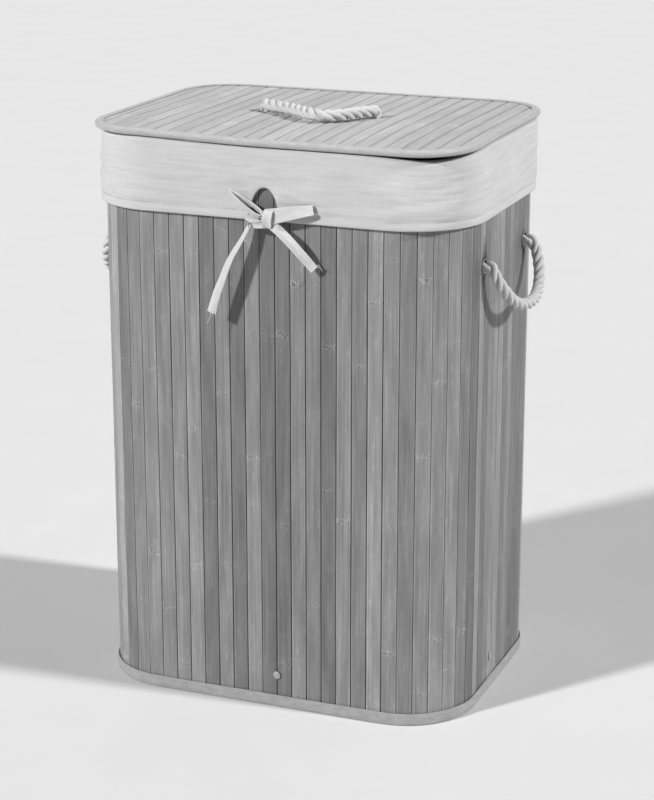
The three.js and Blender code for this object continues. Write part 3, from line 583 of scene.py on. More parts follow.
def settle(piece):
    """Applies a piece's modifiers."""
    graph = bpy.context.evaluated_depsgraph_get()
    done = bpy.data.meshes.new_from_object(
        piece.evaluated_get(graph), preserve_all_data_layers=True, depsgraph=graph
    )
    piece.modifiers.clear()
    piece.data = done


def drill(piece, holes):
    """Cuts round holes, each from one point to another."""
    shape = Shape()
    for start, end, radius in holes:
        turned(shape, [(radius, 0), (radius, (end - start).length)], start, end - start, sides=40)
    cutter = shape.piece(piece.name + "_cutter", piece.data.materials[0])
    cut = piece.modifiers.new("drill", "BOOLEAN")
    cut.operation = "DIFFERENCE"
    cut.solver = "EXACT"
    cut.object = cutter
    settle(piece)
    bpy.data.objects.remove(cutter)


def turned(shape, profile, origin, axis, sides, closed=False):
    """A profile of (radius, height) points turned about an axis."""
    axis = axis.normalized()
    side = axis.orthogonal().normalized()
    other = axis.cross(side)
    rings = [circle(origin + axis * height, side, other, radius, sides) for radius, height in profile]
    shape.loft(rings, loop=closed)


def smooth_route(points, step):
    """Points a step apart on a smooth curve through the given ones."""
    ends = [points[0] * 2 - points[1], *points, points[-1] * 2 - points[-2]]
    dense = []
    for a, b, c, d in zip(ends, ends[1:], ends[2:], ends[3:]):
        for i in range(12):
            t = i / 12
            dense.append(0.5 * (
                2 * b + (c - a) * t + (2 * a - 5 * b + 4 * c - d) * t * t
                + (3 * b - a - 3 * c + d) * t ** 3
            ))
    dense.append(points[-1])
    lengths = running_length(dense)
    count = max(2, round(lengths[-1] / step))
    route = []
    k = 0
    for i in range(count + 1):
        wanted = lengths[-1] * i / count
        while k < len(dense) - 2 and lengths[k + 1] < wanted:
            k += 1
        share = (wanted - lengths[k]) / max(lengths[k + 1] - lengths[k], 1e-9)
        route.append(dense[k].lerp(dense[k + 1], min(share, 1)))
    return route


def carried_frames(route, closed=False):
    """(point, tangent, side, other) along a route, the side carried along without twisting."""
    count = len(route)
    frames = []
    side = None
    for i, point in enumerate(route):
        after = route[(i + 1) % count] if closed else route[min(i + 1, count - 1)]
        before = route[i - 1] if closed else route[max(i - 1, 0)]
        tangent = (after - before).normalized()
        side = tangent.orthogonal() if side is None else side
        side = (side - tangent * side.dot(tangent)).normalized()
        frames.append((point, tangent, side, tangent.cross(side)))
    return frames


# ---- Ropes --------------------------------------------------------------------------------------

STRANDS = 3
STRAND_SIDES = 18
YARNS = 6


def rope(shape, route, radius, lay, closed=False):
    """A rope of twisted strands, each of twisted yarns, along a route of close points."""
    frames = carried_frames(route, closed=closed)
    places = running_length([*route, route[0]] if closed else route)
    turns = max(1, round(places[-1] / lay))
    rate = 2 * math.pi * (turns / places[-1] if closed else 1 / lay)
    if closed:
        first, last = frames[0], frames[-1]
        slip = math.atan2(first[2].dot(last[3]), first[2].dot(last[2]))
    for strand in range(STRANDS):
        rings = []
        for i, (point, tangent, side, other) in enumerate(frames):
            angle = rate * places[i] + 2 * math.pi * strand / STRANDS
            if closed:
                angle += slip * i / len(frames)
            out = side * math.cos(angle) + other * math.sin(angle)
            along = tangent.cross(out)
            swell = 1 + 0.03 * noise.noise(Vector((places[i] / 9, strand * 5, radius)))
            ring = []
            for j in range(STRAND_SIDES):
                turn = 2 * math.pi * j / STRAND_SIDES
                ridge = 1 + 0.055 * math.cos(YARNS * turn + places[i] * 0.9)
                ring.append(
                    point + out * radius * (0.53 + 0.48 * ridge * swell * math.cos(turn))
                    + along * radius * 0.54 * ridge * swell * math.sin(turn)
                )
            rings.append(ring)
        shape.loft(rings, loop=closed, places=places, seed=strand * 3.7)


def stopper_knot(shape, middle, axis, strand_radius):
    """A flat overhand knot, pulled tight, about the rope's axis."""
    side = axis.orthogonal().normalized()
    other = axis.cross(side)
    scale = (KNOT_RADIUS - strand_radius) / 3
    route = []
    count = 110
    for i in range(count):
        t = 2 * math.pi * i / count
        route.append(
            middle + side * scale * (math.sin(t) + 2 * math.sin(2 * t))
            + other * scale * (math.cos(t) - 2 * math.cos(2 * t))
            - axis * scale * 1.7 * math.sin(3 * t)
        )
    rope(shape, route, strand_radius, 22, closed=True)


SIDE_ROPE_HALF = [
    (0, -1, 0), (3.4, -1.015, -6.6), (7, -0.985, -14.2), (10.2, -0.915, -21.6),
    (12.9, -0.82, -28.6), (15.4, -0.7, -35.4), (17.6, -0.55, -41), (19.4, -0.375, -44.8),
    (20.8, -0.19, -46.5), (21.4, 0, -46.9),
]
SIDE_ROPE_ROUTE = [*SIDE_ROPE_HALF, *((out, -share, up) for out, share, up in SIDE_ROPE_HALF[-2::-1])]
LID_ROPE_ROUTE = [
    (-1, 0), (-0.892, -4.5), (-0.764, -8.6), (-0.622, -12.8), (-0.472, -17.6), (-0.32, -23.6),
    (-0.163, -31), (-0.001, -38.6), (0.172, -45), (0.351, -47.8), (0.514, -44.6), (0.637, -36.6),
    (0.733, -26.6), (0.822, -16.2), (0.909, -7), (1, 0),
]


def handle_rope(name, path, material):
    """A handle's rope along its path, its CAD node hidden."""
    shape = Shape()
    rope(shape, path, ROPE_RADIUS, ROPE_LAY)
    made = shape.piece(f"{name}_twisted_rope", material)
    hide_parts(f"{name}_rope")
    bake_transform(made)


def side_handle(wall, material):
    """The rope of one side handle, from inside one hole, out, round and back into the other."""
    route = [
        on_wall(wall, PIVOT_OUT + out, share * HANDLE_HALF_SPAN, HANDLE_HEIGHT + up)
        for out, share, up in SIDE_ROPE_ROUTE
    ]
    leave = (-8, -2, 3.5)
    into = [by_hole(wall, -1, out) for out in leave]
    back = [by_hole(wall, 1, out) for out in reversed(leave)]
    path = smooth_route([*into, *route, *back], ROPE_STEP)
    handle_rope(f"{wall}_handle", path, material)


def lid_handle(material):
    """The lid's rope, up through one hole, lying forward on the lid and down through the other."""
    middle = (LID_HOLES[0] + LID_HOLES[1]) / 2
    half = (LID_HOLES[1] - LID_HOLES[0]) / 2
    route = [
        Vector((middle + share * half, y, LID_ROPE_HEIGHT + 1.2 * (1 - share ** 2)))
        for share, y in LID_ROPE_ROUTE
    ]
    first = [Vector((LID_HOLES[0], 0, z)) for z in (LID_BOTTOM - 8, LID_BOTTOM, LID_ROPE_HEIGHT - 6)]
    last = [Vector((LID_HOLES[1], 0, point.z)) for point in reversed(first)]
    path = smooth_route([*first, *route, *last], ROPE_STEP)
    handle_rope("lid_handle", path, material)


def tied_knot(name, middle, axis, stub, share, body, material):
    """A stopper knot and the rope out of it, through places that far along its axis."""
    shape = Shape()
    stopper_knot(shape, middle, axis, ROPE_RADIUS * 0.72)
    route = smooth_route([middle + axis * along for along in stub], ROPE_STEP)
    rope(shape, route, ROPE_RADIUS * share, ROPE_LAY)
    belong(shape.piece(f"{name}_tied", material), body, "rope", name)


def rope_knots(material):
    """The knots that stop the ropes: two behind each side wall and two under the lid."""
    for wall, side, end in SIDE_HOLES:
        name = f"{wall}_{end}_rope_knot"
        middle = by_hole(wall, side, KNOT_MIDDLE)
        tied_knot(name, middle, WALLS[wall][0], (0, 3, 6, 9, 12), 0.95, "basket", material)
    for x, end in zip(LID_HOLES, ("left", "right")):
        middle = Vector((x, 0, LID_BOTTOM - 0.3 - KNOT_RADIUS))
        tied_knot(f"lid_{end}_rope_knot", middle, UP, (-9, -5, 0, 3, 6), 0.9, "lid", material)


# ---- Drawstring ---------------------------------------------------------------------------------

BOW_ORIGIN = Vector((0, -BODY_DEPTH / 2, CUFF_BOTTOM))
BOW_KNOT = Vector((4, -10.4, 4.5))
LEFT_TAIL_ROUTE = [
    (-11.0, -9.6, -3.0), (-13.6, -11.4, -9.4), (-16.7, -13.1, -15.7), (-20.1, -14.6, -21.9),
    (-23.7, -16.0, -28.1), (-27.1, -17.1, -34.4), (-30.2, -17.9, -40.9), (-33.0, -18.4, -47.6),
    (-35.6, -18.7, -54.4), (-38.2, -18.9, -61.1), (-40.9, -19.0, -67.7), (-43.4, -19.0, -74.4),
    (-45.5, -19.0, -81.1), (-47.4, -19.0, -87.3), (-49.2, -19.0, -93.4),
]
RIGHT_TAIL_ROUTE = [
    (14.2, -10.6, -2.7), (17.9, -12.1, -4.5), (21.5, -13.4, -6.6), (25.0, -14.5, -8.9),
    (28.4, -15.2, -11.4), (31.7, -15.5, -14.2), (34.8, -15.4, -17.3), (37.8, -15.0, -20.4),
    (40.6, -14.2, -23.7), (43.2, -13.2, -27.0), (45.8, -12.0, -30.3), (48.3, -10.7, -33.6),
    (50.8, -9.3, -36.9), (53.5, -8.5, -40.1), (56.5, -8.1, -43.2),
]


def ribbon(shape, route, across, width, thickness, crown=0.0, loop=False, fold=2, taper=None):
    """A flat tape with round edges. across gives its wide direction at a share of its length.

    crown is how far its middle stands out, sharp with a fold of 1 and round with 2. taper gives the
    share of the width that is left at a share of its length.
    """
    frames = carried_frames(route, closed=loop)
    places = running_length([*route, route[0]] if loop else route)
    edge = width / 2 - thickness / 2
    outline = [(edge * t / 4, 1, 1 - abs(t / 4) ** fold) for t in range(-4, 5)]
    outline += [(edge + thickness * 0.42, 0.45, 0), (edge + thickness * 0.42, -0.45, 0)]
    outline += [(edge * t / 4, -1, 1 - abs(t / 4) ** fold) for t in range(4, -5, -1)]
    outline += [(-edge - thickness * 0.42, -0.45, 0), (-edge - thickness * 0.42, 0.45, 0)]
    rings = []
    for i, (point, tangent, _, _) in enumerate(frames):
        share = places[i] / places[-1]
        wide = across(share)
        wide = (wide - tangent * wide.dot(tangent)).normalized()
        face = tangent.cross(wide)
        spread = taper(share) if taper else 1
        ring = []
        for x, y, middle in outline:
            waver = 0.25 * noise.noise(Vector((places[i] / 8, x / 4, width)))
            ring.append(point + wide * x * spread + face * (y * thickness / 2 + crown * middle + waver))
        rings.append(ring)
    shape.loft(rings, loop=loop, places=places)


def thread(shape, route, radius):
    """A loose thread that thins to its end."""
    points = smooth_route([Vector(p) for p in route], 0.8)
    rings = []
    for i, (point, _, side, other) in enumerate(carried_frames(points)):
        rings.append(circle(point, side, other, radius * (1 - 0.6 * i / len(points))))
    shape.loft(rings)


def tail(name, route, start, end, material, threads):
    """A hanging end of the tape, folded lengthwise, cut square and frayed."""
    points = smooth_route([BOW_ORIGIN + Vector(p) for p in route], 1.6)
    slope = (points[-1] - points[0]).normalized()
    wide = slope.cross(Vector((0, 1, 0))).normalized()

    def across(share):
        angle = math.radians(start + (end - start) * share ** 1.2)
        return Matrix.Rotation(angle, 3, slope) @ wide

    shape = Shape()
    ribbon(shape, points, across, TAPE_WIDTH, TAPE_THICKNESS * 0.8, crown=1.3, fold=1.1)
    made = belong(shape.piece(f"{name}_tape", material), "basket", "tape", name)
    shape = Shape()
    tip = points[-1]
    for aside, drop, sway, radius in threads:
        begin = tip + wide * aside - slope * 1.5
        finish = begin + slope * drop + wide * sway
        bend = begin.lerp(finish, 0.5) + wide * (0.4 * sway + 0.8)
        thread(shape, [begin, bend, finish], radius)
    fray = belong(shape.piece(f"{name}_fray", material), "basket", "tape")
    return made, fray, points


def bow_loop(name, material, reach, tilt, bulge, fullest, roll, widths, fan):
    """A flat loop of tape that points away from the knot at its tilt, its two layers fanned apart.

    fullest is the share of its reach where the layers stand furthest apart. widths are the tape's
    widths at the knot and at the loop's end.
    """
    along = Vector((math.cos(math.radians(tilt)), 0, math.sin(math.radians(tilt))))
    depth = Matrix.Rotation(math.radians(roll), 3, along) @ Vector((0, -1, 0))
    wide = along.cross(depth)
    middle = BOW_ORIGIN + BOW_KNOT
    power = math.log(0.5) / math.log(fullest)
    half = [(reach * u, bulge * math.sin(math.pi * u ** power) ** 0.75)
            for u in (0.07, 0.16, 0.28, 0.42, 0.56, 0.7, 0.83, 0.94)]
    half.append((reach - 0.6, 0))
    there = [middle + along * x + depth * y for x, y in half]
    back = [middle + along * x - depth * y for x, y in half[-2::-1]]
    route = smooth_route([*there, *back], 1.3)

    def across(share):
        return wide + along * fan * math.sin(2 * math.pi * share)

    def taper(share):
        return 1 + (widths[1] / widths[0] - 1) * (1 - abs(2 * share - 1))

    shape = Shape()
    ribbon(shape, route, across, widths[0], TAPE_THICKNESS * 0.8, crown=0.3, taper=taper)
    return belong(shape.piece(f"{name}_tape", material), "basket", "tape", name)


def knot_turn(shape, middle, radii, tilt, width, crown):
    """One turn of tape round the knot: radii are how far it stands out and how tall it is."""
    lean = Matrix.Rotation(math.radians(tilt), 3, "Y")
    axis = lean @ Vector((1, 0, 0))
    route = []
    count = 40
    for i in range(count):
        angle = 2 * math.pi * i / count
        forward = Vector((0, -1, 0)) * radii[0] * math.cos(angle)
        route.append(middle + forward + lean @ UP * radii[1] * math.sin(angle))
    ribbon(shape, route, lambda share: axis, width, TAPE_THICKNESS, crown=crown, loop=True)


def knot_root(shape, points, first, last, width, crown):
    """The tape on its way out of the knot, its wide direction turning from first to last."""
    route = smooth_route([BOW_ORIGIN + Vector(p) for p in points], 1)
    ribbon(shape, route, lambda share: first.lerp(last, share), width, TAPE_THICKNESS, crown=crown)


def bow_knot(material):
    """The knot: a turn of tape pulled tight over the loops, and the two tails where they leave it."""
    shape = Shape()
    middle = BOW_ORIGIN + BOW_KNOT
    backward = Vector((0, 1, 0))
    over, under = middle + Vector((5.6, -0.9, -1.0)), middle + Vector((3.0, 0.6, -0.2))
    knot_turn(shape, over, radii=(4.9, 9.0), tilt=4, width=9.6, crown=1.0)
    knot_turn(shape, under, radii=(3.6, 7.6), tilt=-12, width=9, crown=0.8)
    slope = (Vector(LEFT_TAIL_ROUTE[2]) - Vector(LEFT_TAIL_ROUTE[0])).normalized()
    hang = Matrix.Rotation(math.radians(58), 3, slope) @ slope.cross(backward).normalized()
    left_root = [
        (9, -12.2, 0.4), (4, -14.0, -1.2), (-1.5, -14.1, -2.2), (-6.3, -12.6, -2.6),
        (-9.6, -10.4, -3.4), (-12.2, -10.4, -6.2), (-15.0, -12.2, -12.4),
    ]
    knot_root(shape, left_root, UP, hang, width=8.6, crown=1.2)
    edge = (Vector(RIGHT_TAIL_ROUTE[2]) - Vector(RIGHT_TAIL_ROUTE[0])).cross(backward).normalized()
    right_root = [(6, -9.6, 1.4), (10.6, -10.2, -0.8), (14.8, -10.9, -3.0), (19.6, -12.2, -5.9)]
    knot_root(shape, right_root, UP, edge, width=9.4, crown=0.9)
    loop_root = [(2, -8.2, 3.2), (-4, -6.6, 2.6), (-11, -6.2, 1.6), (-17, -6.0, 2.6)]
    knot_root(shape, loop_root, UP, UP, width=6.4, crown=0.8)
    core = [(0.2, -7.4), (3.4, -6), (5.6, -2), (5.8, 2), (3.6, 5.8), (0.2, 7.2)]
    turned(shape, core, middle + Vector((4.6, 0.6, -0.8)), UP, sides=20)
    return belong(shape.piece("drawstring_knot_tied", material), "basket", "tape", "drawstring_knot")


def drawstring_run(material):
    """The tape's run through the hem, out at both sides of the notch and into the knot."""
    height = CUFF_BOTTOM + 5.6
    reach = NOTCH_WIDTH / 2 + 1.5
    begin = NOTCH_MIDDLE + reach
    end = BODY.length + NOTCH_MIDDLE - reach
    out = WRAP_OUT + LINER + 1.1
    count = 160
    round_hem = [BODY.point(begin + (end - begin) * i / count, out, height) for i in range(count + 1)]
    middle = BOW_ORIGIN + BOW_KNOT
    lead = [middle + Vector((6, 3.5, -1)), middle + Vector((9, 5, -0.5))]
    trail = [middle + Vector((-9, 5, -1)), middle + Vector((-5, 3.5, -1.4))]
    route = smooth_route([*lead, *round_hem, *trail], 3)
    shape = Shape()
    ribbon(shape, route, lambda share: UP, width=7.4, thickness=0.9)
    belong(shape.piece("drawstring_run_tape", material), "basket", "tape", "drawstring_band")


def drawstring(material):
    knot = bow_knot(material)
    left = bow_loop(
        "drawstring_loop_left", material,
        reach=44, tilt=147, bulge=3.5, fullest=0.33, roll=-47, widths=(10.5, 8.5), fan=0.1,
    )
    right = bow_loop(
        "drawstring_loop_right", material,
        reach=54, tilt=12.5, bulge=2.6, fullest=0.6, roll=-10, widths=(16.5, 10), fan=0.28,
    )
    left_threads = [(-1.5, 14, 1.5, 0.45), (2.5, 5, 2.5, 0.3), (-4, 4, -2.5, 0.3), (0.5, 6, 1, 0.3)]
    right_threads = [(3.4, 8, 1.5, 0.4), (-2, 4, -1.5, 0.3), (1, 3, 1, 0.3), (4.2, 4, 2.2, 0.3)]
    for side, route, twist, threads in (
        ("left", LEFT_TAIL_ROUTE, (58, 8), left_threads),
        ("right", RIGHT_TAIL_ROUTE, (-20, 4), right_threads),
    ):
        made, fray, path = tail(f"drawstring_tail_{side}", route, *twist, material, threads)
    drawstring_run(material)


# ---- Bamboo -------------------------------------------------------------------------------------


def rows_with_knuckles(low, high, knuckles, step):
    """Heights for a strip's rows, closer at its knuckles, each with how strongly a knuckle marks it."""
    count = round((high - low) / step)
    rows = {low + (high - low) * i / count: 0.0 for i in range(count + 1)}
    for knuckle, strength in knuckles:
        for away, near in ((-9, 0), (-4, 0.35), (-1.4, 0.85), (0, 1), (1.4, 0.85), (4, 0.35), (9, 0)):
            height = knuckle + away
            if low < height < high:
                rows[height] = max(near * strength, rows.get(height, 0))
    return sorted(rows.items())


def strip_outline(left, right, back_left, back_right, outward, lean, edge):
    """A strip's section: (point, how much of an edge it is) round the front and then the back."""
    wide = (right - left).normalized()
    tilt = outward * lean
    rounded = [(0, edge, 1), (0.12 / 0.45 * edge, 0.35 * edge, 1), (edge, 0, 0.6)]
    outline = [(left + wide * x - outward * deep - tilt, mark) for x, deep, mark in rounded]
    flat = [left + wide * 1.6 - tilt, left.lerp(right, 0.5), right - wide * 1.6 + tilt]
    outline += [(point, 0) for point in flat]
    outline += [(right - wide * x - outward * deep + tilt, mark) for x, deep, mark in reversed(rounded)]
    return [*outline, (back_right, 0), (back_left, 0)]


def knuckle_places(rng, low, high):
    """Where a strip's knuckles lie, each with how strongly it shows."""
    places = []
    height = low - rng.uniform(20, 320)
    while height < high:
        height += rng.uniform(120, 290)
        places.append((height, rng.choice((0.3, 0.5, 0.8, 1.0, 1.2))))
    return places


def wall_slats(material):
    """Separate strips for each mat of the wall, from the seam beside the front's middle."""
    rng = random.Random(11)
    pitch = BODY.length / SLAT_COUNT
    mats = {}
    for slat in range(SLAT_COUNT):
        start = SEAM_SHIFT + slat * pitch + SEAM_WIDTH / 2 * rng.uniform(0.7, 1.4)
        end = SEAM_SHIFT + (slat + 1) * pitch - SEAM_WIDTH / 2 * rng.uniform(0.7, 1.4)
        front = [BODY.point(start), BODY.point(end)]
        back = [BODY.point(start, -SLAT_THICKNESS), BODY.point(end, -SLAT_THICKNESS)]
        wide = (front[1] - front[0]).normalized()
        outward = wide.cross(UP).normalized()
        outline = strip_outline(*front, *back, outward, rng.uniform(-0.12, 0.12), 0.5)
        knuckles = knuckle_places(rng, WALL_BOTTOM, WALL_TOP)
        rows = rows_with_knuckles(WALL_BOTTOM, WALL_TOP, knuckles, step=30)
        seed = rng.uniform(0, 60)
        rings = []
        for height, near in rows:
            bow = 0.22 * noise.noise(Vector((seed, height / 120, 0))) + 0.22 * near ** 2
            sway = wide * 0.2 * noise.noise(Vector((seed, height / 160, 9)))
            proud = [outward * bow] * (len(outline) - 2) + [Vector()] * 2
            base = sway + UP * height
            rings.append([point + move + base for (point, _), move in zip(outline, proud)])
        # edge marks where the material paints its highlight along the strips' edges.
        marks = {"edge": lambda i, j: outline[j][1], "knuckle": lambda i, j: rows[i][1]}
        shape = mats.setdefault(zone_of((start + end) / 2), Shape())
        places = [height for height, _ in rows]
        shape.loft(rings, places=places, marks=marks, tone=rng.betavariate(1.7, 1.7), seed=seed)
    for zone, shape in mats.items():
        shape.warp(rim_sag)
        made = shape.piece(f"wall_strips_{zone}", material)
        if zone in ("right", "left"):
            drill(made, side_holes(zone))
        belong(made, "basket", "bamboo", f"wall_slats_{zone}")


def zone_of(distance):
    """The name of the wall or corner at a distance round the body."""
    names = ("front", "front_right_corner", "right", "back_right_corner", "back",
             "back_left_corner", "left", "front_left_corner", "front")
    rest = distance % BODY.length
    for name, run in zip(names, BODY.runs):
        if rest <= run:
            return name
        rest -= run
    return names[-1]


def sag_share(point):
    """From 0 to 1, how much of the front's sag a place has: none at the back or the left corner."""
    front = max(0, min(1, -point.y / 150)) ** 2
    along = max(0, min(1, (point.x + 170) / 170))
    return front * along * along * (3 - 2 * along)


def lid_sag(point):
    """The closed lid follows the rim, which is a little low along the front."""
    return point - UP * LID_SAG * sag_share(point)


def rim_sag(point):
    """The wall's top is a little low along the front, and lower still at the right front corner."""
    height = max(0, min(1, (point.z - CUFF_BOTTOM) / (RIM_TOP - CUFF_BOTTOM)))
    away = math.hypot(point.x - SAG_CORNER[0], point.y - SAG_CORNER[1])
    dip = CORNER_SAG * math.exp(-((away / 46) ** 2))
    return point - UP * height * ((LID_SAG + 0.3) * sag_share(point) + dip)


def lid_end(x, inset):
    """Half the lid's depth at a place along its width, less an inset."""
    radius = LID.radius - inset
    past = max(abs(x) - LID.x, 0)
    return LID.y + math.sqrt(max(radius ** 2 - past ** 2, 0))


def lid_slats(material):
    """Strips from front to back, cut to the lid's outline."""
    rng = random.Random(23)
    pitch = LID_WIDTH / LID_SLAT_COUNT
    inset = 1.2
    side = LID_WIDTH / 2 - inset
    reach = 150
    rows = 33
    shares = [-1 + 2 * i / rows for i in range(rows + 1)]
    shape = Shape()
    for slat in range(LID_SLAT_COUNT):
        start = slat * pitch - LID_WIDTH / 2
        low = max(start + SEAM_WIDTH * rng.uniform(0.5, 0.85), -side)
        high = min(start + pitch - SEAM_WIDTH * rng.uniform(0.5, 0.85), side)
        depths = (0, LID_SLAT_THICKNESS)
        corners = [Vector((x, 0, LID_SLAT_TOP - down)) for down in depths for x in (low, high)]
        outline = strip_outline(*corners, UP, rng.uniform(-0.1, 0.1), 0.4)
        knuckles = [place for place in knuckle_places(rng, -reach, reach) if abs(place[0]) < reach - 10]
        seed = rng.uniform(0, 60)
        nearness = [
            max([strength * (1 - abs(share * reach - place) / 9) for place, strength in knuckles] + [0])
            for share in shares
        ]
        rings = []
        for share, near in zip(shares, nearness):
            proud = [0.2 * near] * (len(outline) - 2) + [0, 0]
            rings.append([
                point + Vector((0, share * lid_end(point.x, inset), rise))
                for (point, _), rise in zip(outline, proud)
            ])
        # edge marks where the material paints shade along the strips' edges, towards the seams.
        marks = {"edge": lambda i, j: 0.3 * outline[j][1], "knuckle": lambda i, j: nearness[i]}
        places = [reach * share for share in shares]
        shape.loft(rings, places=places, marks=marks, tone=rng.betavariate(1.7, 1.7), seed=seed)
    shape.warp(lid_sag)
    made = shape.piece("lid_strips", material)
    drill(made, [lid_hole(x) for x in LID_HOLES])
    belong(made, "lid", "lid_bamboo", "lid_slats")


def lid_hole(x):
    return Vector((x, 0, LID_BOTTOM - 5)), Vector((x, 0, LID_TOP + 5)), EYELET_RADIUS


# ---- Rings, plates and stitches -----------------------------------------------------------------


def ring(shape, plan, section, step=6, change=None):
    """A closed section of (out, up) swept round a plan. change may move a point at a distance round."""
    stations = plan.stations(step)
    rings = []
    for distance in stations:
        moved = [change(distance, *place) for place in section] if change else section
        rings.append([plan.point(distance, *place) for place in moved])
    shape.loft(rings, loop=True, places=[*stations, stations[0] + plan.length])


def strip_section(line, thickness):
    """The closed outline of a cloth of this thickness whose middle follows a line of (out, up)."""
    points = [Vector((out, up)) for out, up in line]
    left, right = [], []
    for i, point in enumerate(points):
        tangent = (points[min(i + 1, len(points) - 1)] - points[max(i - 1, 0)]).normalized()
        side = Vector((-tangent.y, tangent.x)) * thickness / 2
        left.append(point + side)
        right.append(point - side)
    return [tuple(point) for point in [*left, *reversed(right)]]


def arc(middle, radius, start, end, count):
    """Points (out, up) on an arc, its angles in degrees from out towards up."""
    points = []
    for i in range(count + 1):
        angle = math.radians(start + (end - start) * i / count)
        points.append((middle[0] + radius * math.cos(angle), middle[1] + radius * math.sin(angle)))
    return points


def plate(shape, plan, inset, low, high, bevel):
    """A flat plate of a plan's outline, in rings from its middle below to its middle above."""
    stations = plan.stations(7)
    shares = [0.004, 0.15, 0.3, 0.45, 0.6, 0.75, 0.88, 0.97, 1]
    levels = [(share, bevel, low) for share in shares]
    levels += [(1, 0, low + bevel), (1, 0, high - bevel)]
    levels += [(share, bevel, high) for share in reversed(shares)]
    rings = []
    for share, extra, height in levels:
        rings.append([plan.point(d, -inset - extra) * share + UP * height for d in stations])
    shape.loft(rings)


def stitches(plan, place, spacing, length, radius, lean=0.0):
    """A row of stitches round a plan, each a short thread that dips into the cloth at both ends.

    place gives (out, up) at a distance round. lean turns their upper side from outwards to upwards.
    """
    shape = Shape()
    count = round(plan.length / spacing)
    dips = ((0, 0.5, 0.7), (0.2, 1, 0.1), (0.5, 1.1, 0), (0.8, 1, 0.1), (1, 0.5, 0.7))
    for i in range(count):
        begin = plan.length * i / count
        rings = []
        for share, size, sink in dips:
            distance = begin + length * share
            out, up = place(distance)
            middle, outward = plan.at(distance, out)
            normal = (outward * (1 - lean) + UP * lean).normalized()
            other = UP.cross(outward).cross(normal)
            centre = middle + UP * up - normal * radius * sink
            rings.append(circle(centre, normal, other, radius * size))
        shape.loft(rings, places=[begin + length * share for share, _, _ in dips])
    return shape


def fixed_piece(shape, name, material, body, slot, *nodes):
    """Makes a piece that rides on one body."""
    return belong(shape.piece(name, material), body, slot, *nodes)


def wall_backing(backing):
    """The cloth that the wall's slats are glued to."""
    inside, outside = BACKING
    section = [(inside, WALL_BOTTOM), (inside, WALL_TOP), (outside, WALL_TOP), (outside, WALL_BOTTOM)]
    shape = Shape()
    ring(shape, BODY, section_rows(section, 24))
    shape.warp(rim_sag)
    made = shape.piece("wall_backing_sheet", backing)
    drill(made, side_holes("right", "left"))
    belong(made, "basket", "backing", "wall_backing_cloth")


def bottom_binding(binding, thread_material):
    """The binding on the wall's lower edge, a little uneven, and its row of stitches."""

    def puff(distance, up):
        return 0.25 * noise.noise(BODY.point(distance) / 24 + UP * up / 6)

    def uneven(distance, out, up):
        if out <= 0:
            return out, up
        dip = 0.35 * noise.noise(BODY.point(distance) / 60) if up > 6 else 0
        return out + puff(distance, up), up + dip

    shape = Shape()
    ring(shape, BODY, binding_section(0, BINDING_TOP), step=5, change=uneven)
    fixed_piece(shape, "bottom_binding_tape", binding, "basket", "binding", "bottom_binding")

    def on_binding(distance):
        up = BINDING_TOP - 2.6
        return WRAP_OUT + 0.98 + puff(distance, up), up

    shape = stitches(BODY, on_binding, spacing=4.1, length=2.9, radius=0.33)
    fixed_piece(shape, "bottom_binding_stitches", thread_material, "basket", "binding")


def top_binding(binding):
    """The binding on the wall's upper edge, under the cuff."""
    top = corner("top_binding", 1).z
    shape = Shape()
    ring(shape, BODY, binding_section(top, top - 13), step=7)
    shape.warp(rim_sag)
    fixed_piece(shape, "top_binding_tape", binding, "basket", "binding", "top_binding")


def seam_tape(binding):
    """The tape over the seam that closes the backing."""
    low, high = corner("wall_seam_tape", 0), corner("wall_seam_tape", 1)
    middle = (low + high) / 2
    route = smooth_route([Vector((middle.x, middle.y, z)) for z in (low.z, middle.z, high.z)], 12)
    shape = Shape()
    ribbon(shape, route, lambda share: Vector((1, 0, 0)), high.x - low.x, high.y - low.y)
    fixed_piece(shape, "wall_seam_tape_strip", binding, "basket", "binding", "wall_seam_tape")


def section_rows(corners, count):
    """A closed section with its long sides divided, so that it can carry unevenness."""
    rows = []
    for (x0, y0), (x1, y1) in zip(corners, [*corners[1:], corners[0]]):
        pieces = count if abs(y1 - y0) > 20 else 1
        rows.extend((x0 + (x1 - x0) * i / pieces, y0 + (y1 - y0) * i / pieces) for i in range(pieces))
    return rows


def binding_section(edge, reach):
    """A tape folded over the wall's edge, round at its fold."""
    away = 1 if reach > edge else -1
    outside = WRAP_OUT + HALF_BINDING
    inside = LAYER_IN + HALF_BINDING
    bend = 1.5
    fold = edge + away * (HALF_BINDING + bend)
    line = [(outside, reach), (outside + 0.1, reach - away * 2), (outside + 0.18, (edge + reach) / 2)]
    line += arc((outside - bend, fold), bend, 0, -90 * away, 4)
    line += arc((inside + bend, fold), bend, -90 * away, -180 * away, 4)
    line += [(inside, (edge + reach) / 2), (inside, reach)]
    return strip_section(line, BINDING)


